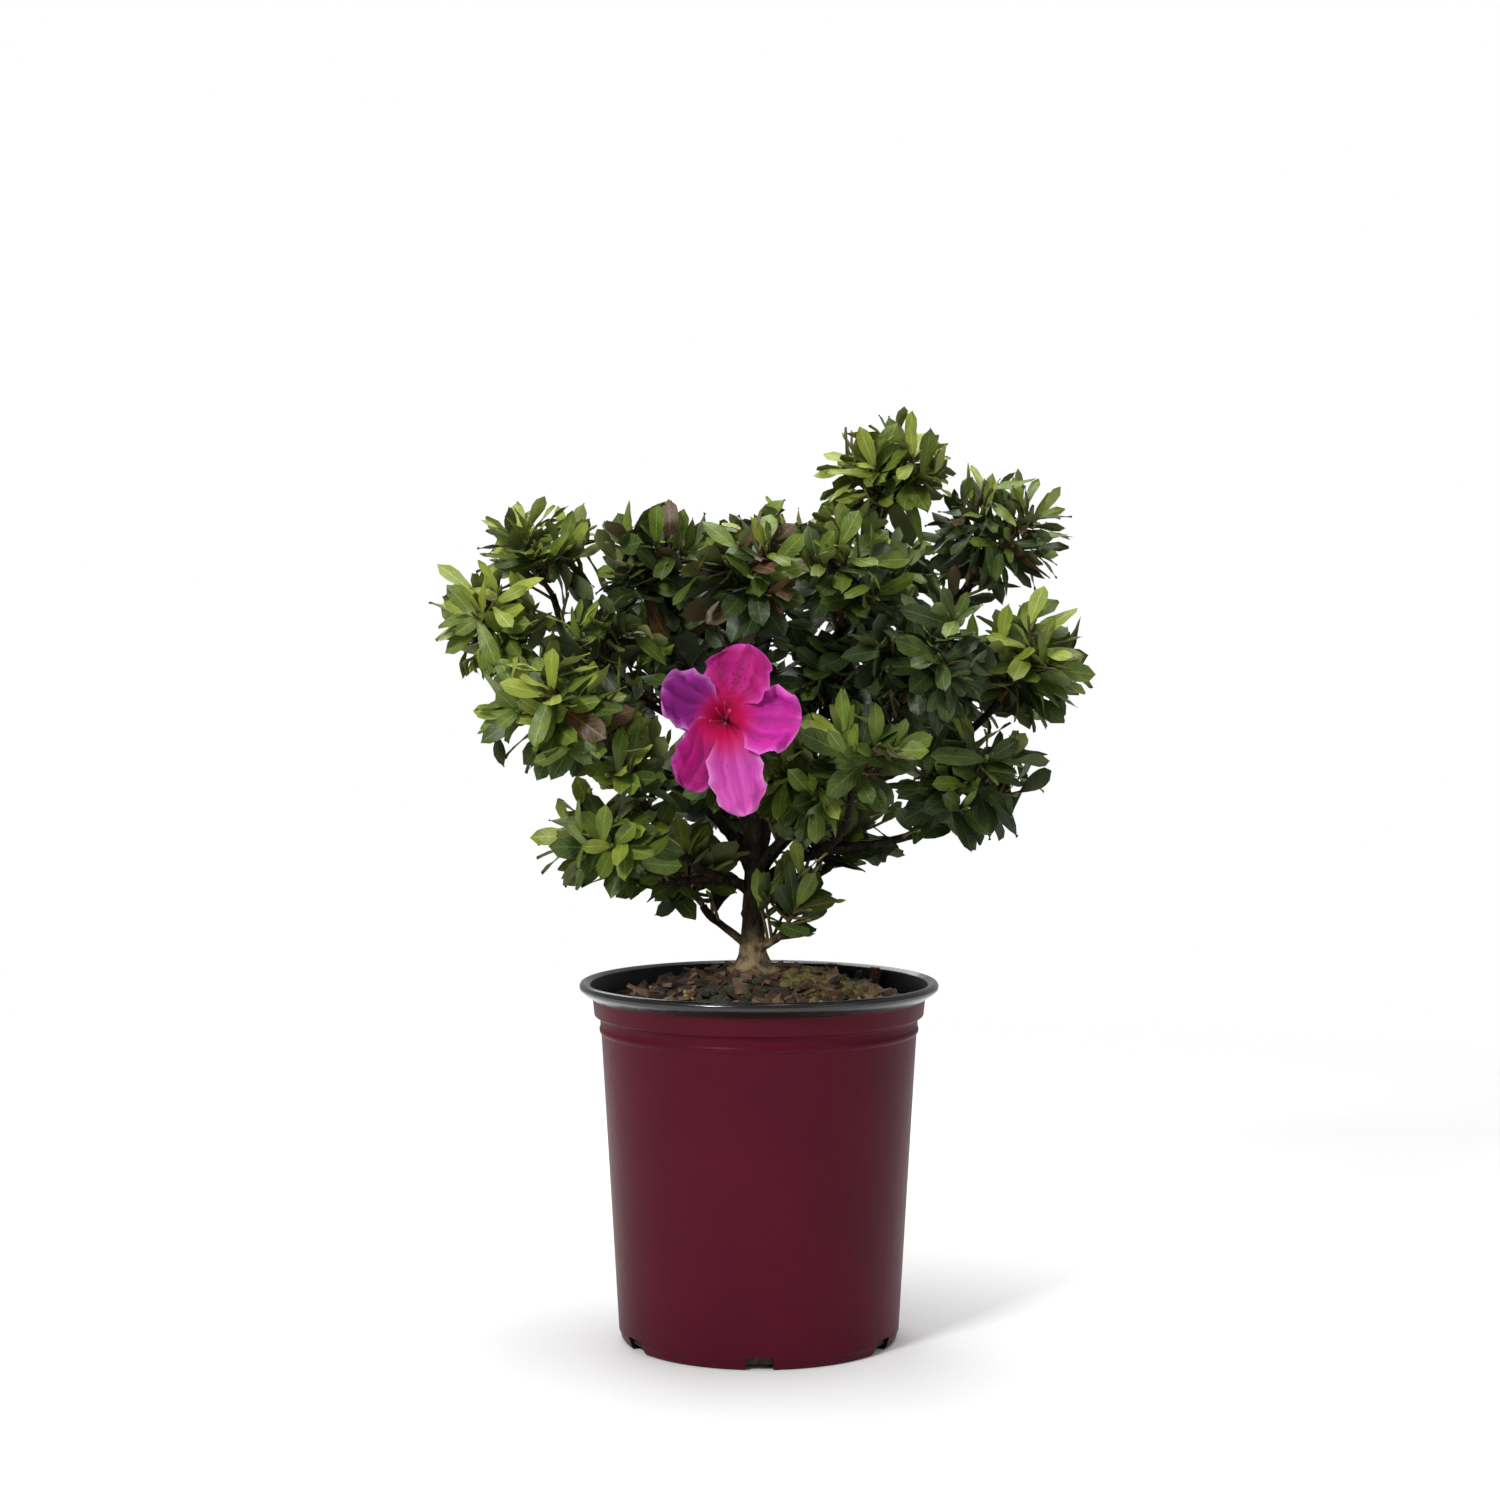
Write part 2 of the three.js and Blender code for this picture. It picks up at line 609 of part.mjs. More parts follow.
function makeSpray(spray, index) {
  const draw = seeded(1000 + 37 * index);
  const twigs = growTwigs(spray, draw);
  const leaves = growLeaves(spray, twigs, draw);
  const parts = twigs.map(({ curve, from, leaving }) =>
    bar(curve, (part) => mix(from, twig.tipRadius, part), { sides: twig.sides, leaving }),
  );
  parts.push(...leaves.map(leafSolid));
  const flowering = spray.name === flower.spray;
  if (flowering) parts.push(...flowerSolids(twigs[0].curve));
  const shape = wasm.Manifold.union(parts);
  return piece(`spray_${spray.name}`, shape, flowering ? colours.blossom : colours.foliage);
}

const flowerFrame = frameOfFlower();
const bloom = flowerOutline();

const azalea = new THREE.Group();
azalea.add(makePot(), makeSoil(), ...makeLimbs(), ...sprays.map(makeSpray));
export default azalea;
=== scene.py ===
# A young azalea in a moulded nursery pot, dressed over its solids.
# Sizes are in millimetres until a piece is finished. The flowering side faces -Y.
import math
import bmesh
import bpy
from mathutils import Matrix, Vector, geometry, noise


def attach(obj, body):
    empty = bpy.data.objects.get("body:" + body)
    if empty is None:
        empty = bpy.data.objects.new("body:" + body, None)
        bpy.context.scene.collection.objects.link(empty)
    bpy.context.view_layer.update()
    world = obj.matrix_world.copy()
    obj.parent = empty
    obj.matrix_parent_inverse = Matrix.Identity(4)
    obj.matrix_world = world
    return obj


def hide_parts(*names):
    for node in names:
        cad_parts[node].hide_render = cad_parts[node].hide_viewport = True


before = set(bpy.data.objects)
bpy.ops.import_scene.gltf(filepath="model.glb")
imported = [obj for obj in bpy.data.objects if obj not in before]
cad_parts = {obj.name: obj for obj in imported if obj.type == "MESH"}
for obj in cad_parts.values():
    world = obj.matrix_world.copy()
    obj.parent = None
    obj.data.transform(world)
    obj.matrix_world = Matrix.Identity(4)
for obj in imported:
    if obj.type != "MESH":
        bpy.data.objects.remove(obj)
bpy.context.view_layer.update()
millimetre = 0.001
up = Vector((0, 0, 1))

# The camera stands where the plant was seen from, a little above the pot's rim.
view = {
    "place": Vector((-5.4, -1698.42, 427.82)),
    "target": Vector((-5.4, 0, 354.6)),
    "lens": 68,
    "sensor": 36,
}


def addObject(name, data):
    made = bpy.data.objects.new(name, data)
    bpy.context.scene.collection.objects.link(made)
    return made


def lookAt(made, place, target):
    made.location = place * millimetre
    made.rotation_euler = (target - place).to_track_quat("-Z", "Y").to_euler()


def addCamera():
    data = bpy.data.cameras.new("camera")
    data.lens = view["lens"]
    data.sensor_width = view["sensor"]
    camera = addObject("camera", data)
    lookAt(camera, view["place"], view["target"])
    bpy.context.scene.camera = camera


addCamera()
bpy.context.scene.view_settings.view_transform = "Standard"  # keeps the white ground white
print("camera placed")


# Small tools for colours, random numbers, curves and directions
def colour(red, green, blue):
    parts = [value / 255 for value in (red, green, blue)]
    linear = [p / 12.92 if p <= 0.04045 else ((p + 0.055) / 1.055) ** 2.4 for p in parts]
    return (*linear, 1)


def seeded(seed):
    state = seed

    def draw():
        nonlocal state
        state = (state * 48271) % 2147483647
        return state / 2147483647

    return draw


def between(low, high, part):
    return low + (high - low) * part


def pointOn(curve, part):
    points = list(curve)
    while len(points) > 1:
        points = [a.lerp(b, part) for a, b in zip(points, points[1:])]
    return points[0]


def directionOn(curve, part):
    return pointOn([b - a for a, b in zip(curve, curve[1:])], part).normalized()


def pointsAlong(curve, steps):
    return [pointOn(curve, i / steps) for i in range(steps + 1)]


def acrossFrom(direction):
    across = Vector((1, 0, 0)) if abs(direction.y) > 0.9 else Vector((0, 1, 0))
    return (across - direction * across.dot(direction)).normalized()


def tilted(axis, tilt, turn):
    side = acrossFrom(axis)
    over = axis.cross(side)
    tilt, turn = math.radians(tilt), math.radians(turn)
    return axis * math.cos(tilt) + (side * math.cos(turn) + over * math.sin(turn)) * math.sin(tilt)


def squareTo(direction, along):
    return (direction - along * direction.dot(along)).normalized()


def axesAt(place, across, along, face, size=1):
    columns = [Vector((*axis, 0)) for axis in (across * size, along * size, face * size)]
    return Matrix((*columns, Vector((*place, 1)))).transposed()


# Finishing a piece: metres, smooth or flat shading, its materials, its body and nodes
def finishPiece(name, mesh, materials, nodes=(), smooth=True):
    mesh.transform(Matrix.Scale(millimetre, 4))
    for material in materials:
        mesh.materials.append(material)
    mesh.polygons.foreach_set("use_smooth", [smooth] * len(mesh.polygons))
    mesh.name = name
    piece = addObject(name, mesh)
    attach(piece, "root")
    if nodes:
        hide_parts(*nodes)
    print(name, len(mesh.polygons), "faces")
    return piece


def meshOf(bm, name):
    mesh = bpy.data.meshes.new(name)
    bm.to_mesh(mesh)
    bm.free()
    return mesh


# The mesh of an object with its modifiers or its bevel applied. The object itself goes.
def finishedMesh(made):
    mesh = bpy.data.meshes.new_from_object(made.evaluated_get(bpy.context.evaluated_depsgraph_get()))
    bpy.data.objects.remove(made)
    return mesh


# Round bars along lines of points, made as one curve and turned into a mesh
def barsMesh(name, bars, roundness):
    curve = bpy.data.curves.new(name, "CURVE")
    curve.dimensions = "3D"
    curve.bevel_depth = 1
    curve.bevel_resolution = roundness
    curve.use_fill_caps = True
    for points, radii in bars:
        line = curve.splines.new("POLY")
        line.points.add(len(points) - 1)
        for spot, point, radius in zip(line.points, points, radii):
            spot.co = (*point, 1)
            spot.radius = radius
    mesh = finishedMesh(addObject(name, curve))
    bpy.data.curves.remove(curve)
    return mesh


# Material tools. A group puts out a colour or a height that changes over the surface.
def newGroup(name, inputs, outputs):
    tree = bpy.data.node_groups.new(name, "ShaderNodeTree")
    for label, kind, value in inputs:
        socket = tree.interface.new_socket(label, in_out="INPUT", socket_type="NodeSocket" + kind)
        if value is not None:
            socket.default_value = value
    for label, kind in outputs:
        tree.interface.new_socket(label, in_out="OUTPUT", socket_type="NodeSocket" + kind)
    return tree, tree.nodes.new("NodeGroupInput").outputs, tree.nodes.new("NodeGroupOutput")


# A socket that is given another socket is linked to it, and otherwise keeps the value it is given
def fillSockets(tree, node, sockets):
    for label, value in sockets.items():
        if isinstance(value, bpy.types.NodeSocket):
            tree.links.new(value, node.inputs[label])
        else:
            node.inputs[label].default_value = value


def addNode(tree, kind, sockets=None, **settings):
    node = tree.nodes.new("ShaderNode" + kind)
    for key, value in settings.items():
        setattr(node, key, value)
    fillSockets(tree, node, sockets or {})
    return node


def mathOf(tree, operation, *values, **settings):
    return addNode(tree, "Math", dict(enumerate(values)), operation=operation, **settings).outputs[0]


def mixed(tree, mask, ground, paint):
    sockets = {"Factor": mask, "A": ground, "B": paint}
    return addNode(tree, "Mix", sockets, data_type="RGBA").outputs["Result"]


# A value carried from one range to another, softly or in a straight line
def mapped(tree, value, start, end, low=0, high=1, kind="SMOOTHSTEP"):
    sockets = {"Value": value, "From Min": start, "From Max": end, "To Min": low, "To Max": high}
    return addNode(tree, "MapRange", sockets, interpolation_type=kind).outputs[0]


# Two colours mixed by soft noise, with the same noise as a height
def makeMottle():
    inputs = [
        ("Place", "Vector", None),
        ("Light", "Color", (0.8, 0.8, 0.8, 1)),
        ("Dark", "Color", (0.2, 0.2, 0.2, 1)),
        ("Scale", "Float", 40),
        ("Sharpness", "Float", 1),
    ]
    tree, given, end = newGroup("mottle", inputs, [("Color", "Color"), ("Height", "Float")])
    cloud = addNode(tree, "TexNoise", {"Vector": given["Place"], "Scale": given["Scale"], "Detail": 4})
    spread = mathOf(tree, "SUBTRACT", cloud.outputs["Fac"], 0.5)
    height = mathOf(tree, "MULTIPLY_ADD", spread, given["Sharpness"], 0.5, use_clamp=True)
    fillSockets(tree, end, {"Color": mixed(tree, height, given["Dark"], given["Light"]), "Height": height})
    return tree


# Veins that run out from the middle of a leaf or petal, read from its own map
def makeVeins():
    inputs = [("Map", "Vector", None)]
    inputs += [("Count", "Float", 9), ("Slant", "Float", 0.35), ("Width", "Float", 0.1)]
    tree, given, end = newGroup("veins", inputs, [("Mask", "Float")])
    place = addNode(tree, "SeparateXYZ", {0: given["Map"]}).outputs
    aside = mathOf(tree, "ABSOLUTE", mathOf(tree, "SUBTRACT", place["X"], 0.5))
    slide = mathOf(tree, "SUBTRACT", place["Y"], mathOf(tree, "MULTIPLY", aside, given["Slant"]))
    wave = mathOf(tree, "PINGPONG", mathOf(tree, "MULTIPLY", slide, given["Count"]), 0.5)
    fillSockets(tree, end, {"Mask": mathOf(tree, "LESS_THAN", wave, given["Width"])})
    return tree


mottle = makeMottle()
veins = makeVeins()


# A new material, and the coordinates that its patterns are read from
def newMaterial(name, sockets):
    material = bpy.data.materials.new(name)
    material.use_nodes = True
    tree = material.node_tree
    fillSockets(tree, tree.nodes["Principled BSDF"], sockets)
    return material, addNode(tree, "TexCoord").outputs


# A pattern colours the shader, and its height is the relief
def wearPattern(tree, pattern, strength, depth):
    relief = addNode(tree, "Bump", {"Strength": strength, "Distance": depth, "Height": pattern["Height"]})
    sockets = {"Base Color": pattern["Color"], "Normal": relief.outputs[0]}
    fillSockets(tree, tree.nodes["Principled BSDF"], sockets)


# Another colour goes over what a material has so far, where the mask says so
def paintOver(tree, mask, paint):
    base = tree.nodes["Principled BSDF"].inputs["Base Color"]
    tree.links.new(mixed(tree, mask, base.links[0].from_socket, paint), base)


# A material whose colour is mottled on Object coordinates, with a bump of the same noise
def mottledMaterial(name, light, dark, size, roughness, bump=0.2, sharpness=2, stretch=(1, 1, 1), shine=0.5):
    material, place = newMaterial(name, {"Roughness": roughness, "Specular IOR Level": shine})
    tree = material.node_tree
    fit = addNode(tree, "Mapping", {"Vector": place["Object"], "Scale": stretch})
    sockets = {
        "Place": fit.outputs[0],
        "Light": light,
        "Dark": dark,
        "Scale": 1 / (size * millimetre),
        "Sharpness": sharpness,
    }
    cloud = addNode(tree, "Group", sockets, node_tree=mottle)
    wearPattern(tree, cloud.outputs, bump, size * millimetre / 4)
    return material


# The same, with fine veins drawn over it from the piece's own map
def veinedMaterial(name, light, dark, vein, size, roughness, count, slant, width, **others):
    material = mottledMaterial(name, light, dark, size, roughness, **others)
    tree = material.node_tree
    place = tree.nodes["Texture Coordinate"].outputs["UV"]
    sockets = {"Map": place, "Count": count, "Slant": slant, "Width": width}
    paintOver(tree, addNode(tree, "Group", sockets, node_tree=veins).outputs["Mask"], vein)
    return material


# The pot: a tapered wall, a collar below the rim, and a dark lip that flares outwards
pot = {
    "height": 216,
    "footRadius": 83.5,
    "shoulderRadius": 95.4,
    "shoulderHeight": 194,
    "collarRadius": 99,
    "collarHeight": 12,
    "lipRadius": 108,
    "lipWidth": 6.5,
    "wall": 1.8,
    "floor": 3,
    "footStep": 5,
    "sides": 128,
    "softEdge": 0.7,
    "softAngle": 17.2,
    "sharpAngle": 40,
    "drains": 6,
    "drain": (22, 16, 16),
    "maroon": colour(84, 16, 35),
    "maroonDark": colour(68, 12, 29),
    "black": colour(7, 6, 7),
    "blackLight": colour(14, 13, 14),
}
potSlope = (pot["shoulderRadius"] - pot["footRadius"]) / pot["shoulderHeight"]


# Across the pot from the middle of its underside, up the outside, over the lip and down the inside
def potProfile():
    wall, foot, step = pot["wall"], pot["footRadius"], pot["footStep"]
    shoulder, ledge = pot["shoulderRadius"], pot["shoulderHeight"]
    collar, collarTop = pot["collarRadius"], ledge + pot["collarHeight"]
    lip, top = pot["lipRadius"], pot["height"]
    return [
        (0, 1),
        (foot - 9, 1),
        (foot - 7, 0),
        (foot - 2, 0),
        (foot - 0.4, 2),
        (foot + 0.3, step),
        (foot + 1, step + 1),
        (shoulder - 0.6, ledge - 9),
        (shoulder + 0.5, ledge - 8),
        (shoulder + 0.6, ledge - 6),
        (shoulder, ledge - 5),
        (shoulder, ledge),
        (collar, ledge + 2),
        (collar + 1, collarTop),
        (lip - 3.2, top - 6.8),
        (lip - 0.4, top - 4.6),
        (lip, top - 2.4),
        (lip - 1, top - 0.6),
        (lip - 3, top),
        (lip - pot["lipWidth"], top - 1.6),
        (collar + 1 - wall, collarTop - 1),
        (collar - wall, ledge + 3),
        (shoulder - wall, ledge),
        (foot - wall, pot["floor"]),
        (0, pot["floor"]),
    ]


def spun(bm, profile, sides):
    corners = [bm.verts.new((r, 0, z)) for r, z in profile]
    lines = [bm.edges.new(pair) for pair in zip(corners, corners[1:])]
    bmesh.ops.spin(
        bm, geom=corners + lines, axis=up, cent=(0, 0, 0), angle=2 * math.pi, steps=sides, use_merge=True
    )
    bmesh.ops.remove_doubles(bm, verts=bm.verts[:], dist=0.001)
    bmesh.ops.recalc_face_normals(bm, faces=bm.faces[:])


def isRing(edge):
    a, b = (v.co for v in edge.verts)
    return abs(a.z - b.z) < 0.01 and a.xy.length > 1 and abs(a.xy.length - b.xy.length) < 0.01


def makePot():
    bm = bmesh.new()
    spun(bm, potProfile(), pot["sides"])
    softAngle = math.radians(pot["softAngle"])
    rings = [e for e in bm.edges if isRing(e) and e.calc_face_angle(0) > softAngle]
    bmesh.ops.bevel(
        bm, geom=rings, offset=pot["softEdge"], affect="EDGES", segments=3, profile=0.5, material=-1,
        clamp_overlap=True,
    )
    shell = addObject("shell", meshOf(bm, "shell"))
    cutter = drainCutter()
    cut = shell.modifiers.new("drains", "BOOLEAN")
    cut.operation = "DIFFERENCE"
    cut.solver = "EXACT"
    cut.object = cutter
    mesh = finishedMesh(shell)
    bpy.data.objects.remove(cutter)
    for face in mesh.polygons:
        face.material_index = potFinish(face.center, face.normal)
    maroon, black = (pot["maroon"], pot["maroonDark"]), (pot["blackLight"], pot["black"])
    materials = [
        mottledMaterial("maroonPlastic", *maroon, 60, 0.4, bump=0.05, sharpness=1.2, shine=0.07),
        mottledMaterial("blackPlastic", *black, 24, 0.18, bump=0.05, shine=0.65),
        mottledMaterial("innerPlastic", *black, 24, 0.5, bump=0.05, shine=0.12),
    ]
    piece = finishPiece("potShell", mesh, materials, ["pot"])
    sharpenCorners(piece, pot["sharpAngle"])


# Maroon outside, glossy black on the lip and dull black inside
def potFinish(place, normal):
    outward = normal.xy.dot(place.xy) > 0 or place.z < 2
    wallRadius = pot["footRadius"] + potSlope * place.z - pot["wall"] * 0.6
    isInner = not outward and place.xy.length < max(wallRadius, 1) + 6 and place.z > 2
    inLip = place.z > pot["shoulderHeight"] + pot["collarHeight"] + 1
    if inLip and (outward or normal.z > 0.5):
        return 1
    return 2 if isInner or inLip else 0


def drainCutter():
    bm = bmesh.new()
    for i in range(pot["drains"]):
        turn = Matrix.Rotation((i + 0.5) * 2 * math.pi / pot["drains"], 4, "Z")
        place = turn @ Matrix.Translation((pot["footRadius"], 0, 0)) @ Matrix.Diagonal((*pot["drain"], 1))
        bmesh.ops.create_cube(bm, size=1, matrix=place)
    return addObject("drains", meshOf(bm, "drains"))


def sharpenCorners(piece, angle):
    bm = bmesh.new()
    bm.from_mesh(piece.data)
    for edge in bm.edges:
        edge.smooth = edge.calc_face_angle(0) < math.radians(angle)
    bm.to_mesh(piece.data)
    bm.free()


makePot()

# The potting mix: heaped round the trunk, lower at the pot's wall, with bark chips and moss on it
soil = {
    "crown": 222,
    "crownRadius": 21,
    "wallLevel": 203,
    "radius": pot["collarRadius"] - pot["wall"] - 0.6,
    "wallGap": 0.8,
    "floorGap": 3.3,
    "sunk": 1.6,
    "rings": 16,
    "sides": 120,
    "lumps": 2.2,
    "lumpSize": 14,
    "crumbSize": 6,
    "calmMiddle": 20,
    "calmEdge": 6,
    "chips": 760,
    "chipKinds": 9,
    "chipLength": (4, 15),
    "chipWidth": (0.35, 0.7),
    "chipThickness": (0.18, 0.35),
    "chipRoughness": (0.72, 1.15),
    "chipLean": 1.1,
    "tallChips": [(45, 82, 17), (38, 84, 13), (72, 64, 17), (-30, 84, 12), (62, 70, 14), (24, 86, 12)],
    "tallLean": 0.3,
    "tallTilt": 1.25,
    "moss": [(90, (48, -12), (40, 44), 0), (26, (-62, 44), (22, 26), 2), (16, (-16, -52), (30, 22), 2)],
    "mossSize": (2, 5.5),
    "mossHeight": 0.6,
    "mossBand": (20, 90),
    "prills": 46,
    "prillSize": 1.5,
    "bareRadius": 14,
    "bareEdge": 5,
    "light": colour(74, 58, 40),
    "dark": colour(30, 22, 15),
    "chipColours": [
        ("barkChip", colour(96, 66, 42), colour(48, 30, 20)),
        ("darkChip", colour(58, 44, 34), colour(24, 18, 14)),
        ("paleChip", colour(128, 104, 76), colour(70, 52, 36)),
    ],
    # Name, light, dark, size of the pattern, roughness, bump and sharpness
    "mossColours": [
        ("moss", colour(118, 112, 52), colour(66, 60, 30), 2, 0.95, 1, 3),
        ("grit", colour(168, 150, 96), colour(120, 100, 60), 3, 0.5, 0.1, 2),
        ("darkMoss", colour(62, 70, 38), colour(30, 36, 20), 2, 0.9, 1, 3),
    ],
}


def soilLevel(x, y):
    away, rim = math.hypot(x, y), soil["radius"]
    part = min(max((rim - away) / (rim - soil["crownRadius"]), 0), 1)
    rise = (1 - math.cos(math.pi * part)) / 2
    lumps = noise.noise(Vector((x, y, 0)) / soil["lumpSize"])
    lumps += 0.5 * noise.noise(Vector((x, y, 9)) / soil["crumbSize"])
    edge = min(away / soil["calmMiddle"], 1) * min((rim - away) / soil["calmEdge"], 1)
    level = between(soil["wallLevel"], soil["crown"], rise) - soil["sunk"]
    return level + max(edge, 0) * soil["lumps"] * lumps


def makeSoil():
    rim, floor, ledge = soil["radius"], soil["floorGap"], pot["shoulderHeight"]
    foot = pot["footRadius"] - pot["wall"] - soil["wallGap"] + potSlope * floor
    shoulder = pot["shoulderRadius"] - pot["wall"] - soil["wallGap"]
    top = [(rim * i / soil["rings"], soil["wallLevel"]) for i in range(soil["rings"] + 1)]
    bm = bmesh.new()
    spun(bm, top + [(rim, ledge + 4), (shoulder, ledge), (foot, floor), (0, floor)], soil["sides"])
    for v in bm.verts:
        if v.co.z > soil["wallLevel"] - 0.1:
            v.co.z = soilLevel(v.co.x, v.co.y)
    earth = mottledMaterial("earth", soil["light"], soil["dark"], 3, 0.95, bump=0.9, sharpness=3)
    finishPiece("pottingMix", meshOf(bm, "pottingMix"), [earth], ["potting_mix"])


# A rough splinter of bark, of which a few kinds are made and scattered
def splinterMesh(draw, width, thick):
    bm = bmesh.new()
    bmesh.ops.create_cube(bm, size=1, matrix=Matrix.Diagonal((1, width, thick, 1)))
    bmesh.ops.subdivide_edges(bm, edges=[e for e in bm.edges if e.calc_length() > width], cuts=1)
    for v in bm.verts:
        v.co *= between(*soil["chipRoughness"], draw())
    return meshOf(bm, "splinter")


def pebbleMesh(draw, roughness):
    bm = bmesh.new()
    bmesh.ops.create_icosphere(bm, subdivisions=2, radius=1)
    for v in bm.verts:
        v.co *= between(1 - roughness, 1 + roughness, draw())
    return meshOf(bm, "pebble")


def addCopy(bm, mesh, matrix, material=0):
    copy = mesh.copy()
    copy.transform(matrix)
    first = len(bm.faces)
    bm.from_mesh(copy, face_normals=False, vertex_normals=False)
    bpy.data.meshes.remove(copy)
    bm.faces.ensure_lookup_table()
    for face in bm.faces[first:]:
        face.material_index += material


def spotOnSoil(draw):
    reach = pot["collarRadius"] - pot["wall"] - soil["bareEdge"]
    radius = between(soil["bareRadius"], reach, math.sqrt(draw()))
    turn = 2 * math.pi * draw()
    return Vector((radius * math.cos(turn), radius * math.sin(turn), 0))


def anyTurn(draw, lean):
    turned = Matrix.Rotation(2 * math.pi * draw(), 4, "Z")
    for axis in "YX":
        turned = turned @ Matrix.Rotation(lean * (draw() - 0.5), 4, axis)
    return turned


def makeChips():
    draw = seeded(77)
    kinds = []
    for _ in range(soil["chipKinds"]):
        width, thick = (between(*soil[key], draw()) for key in ("chipWidth", "chipThickness"))
        kinds.append(splinterMesh(draw, width, thick))
    bm = bmesh.new()
    for i in range(soil["chips"]):
        place = spotOnSoil(draw)
        length = between(*soil["chipLength"], draw() ** 2)
        place.z = soilLevel(place.x, place.y) + length * 0.06
        turn = Matrix.Translation(place) @ anyTurn(draw, soil["chipLean"]) @ Matrix.Scale(length, 4)
        addCopy(bm, kinds[i % len(kinds)], turn, int(draw() * len(soil["chipColours"])))
    for x, y, length in soil["tallChips"]:
        place = Vector((x, y, soilLevel(x, y) + length * 0.36))
        turn = Matrix.Translation(place) @ anyTurn(draw, soil["tallLean"])
        turn = turn @ Matrix.Rotation(soil["tallTilt"], 4, "Y") @ Matrix.Scale(length, 4)
        addCopy(bm, kinds[int(x) % len(kinds)], turn, int(x) % 2)
    materials = [mottledMaterial(*row, 4, 0.9, bump=0.6) for row in soil["chipColours"]]
    finishPiece("barkChips", meshOf(bm, "barkChips"), materials, smooth=False)


def makeMoss():
    draw = seeded(515)
    kinds = [pebbleMesh(draw, 0.16) for _ in range(4)]
    small = [pebbleMesh(draw, 0.03) for _ in range(2)]
    bm = bmesh.new()
    nearest, farthest = soil["mossBand"]
    for count, middle, spread, material in soil["moss"]:
        for i in range(count):
            x, y = (a + (draw() + draw() - 1) * wide for a, wide in zip(middle, spread))
            if not nearest < math.hypot(x, y) < farthest:
                continue
            size = between(*soil["mossSize"], draw())
            place = Matrix.Translation((x, y, soilLevel(x, y) + size * 0.1))
            flat = Matrix.Diagonal((size, size, size * soil["mossHeight"], 1))
            addCopy(bm, kinds[i % 4], place @ flat, material)
    for i in range(soil["prills"]):
        place = spotOnSoil(draw)
        place.z = soilLevel(place.x, place.y) + 1
        addCopy(bm, small[i % 2], Matrix.Translation(place) @ Matrix.Scale(soil["prillSize"], 4), 1)
    materials = [mottledMaterial(*row) for row in soil["mossColours"]]
    finishPiece("moss", meshOf(bm, "moss"), materials)


makeSoil()
makeChips()
makeMoss()

# The plant's rule, the same as in its solids: a trunk, and a bough from a fork to each spray of foliage
trunk = {
    "foot": Vector((-4, 0, 222.3)),
    "rise": 62,
    "lean": Vector((2, -1.5, 0)),
    "flareRadius": 14,
    "flareHeight": 8,
    "neckRadius": 6.7,
    "forkRadius": 6.5,
}
bough = {"tipRadius": 2.2, "leaves": 0.38, "arrives": 0.3, "enters": 0.72, "lift": 0.45, "gap": 0.3}
twig = {"footRadius": 2.2, "tipRadius": 1.9, "clear": 2.4, "forks": 0.5, "lowest": 0.12}
shoot = {
    "leaf": 44,
    "inset": 0.5,
    "least": 8,
    "top": 0.75,
    "drop": 1.35,
    "spread": 137.5,
    "wobble": 40,
    "turn": 50,
}
space = {
    "margin": 0.6,
    "fullness": 1.25,
    "inner": 1.9,
    "innermost": 3.6,
    "middle": Vector((-4, 0, 385)),
    "neighbours": 160,
    "stretches": 12,
}
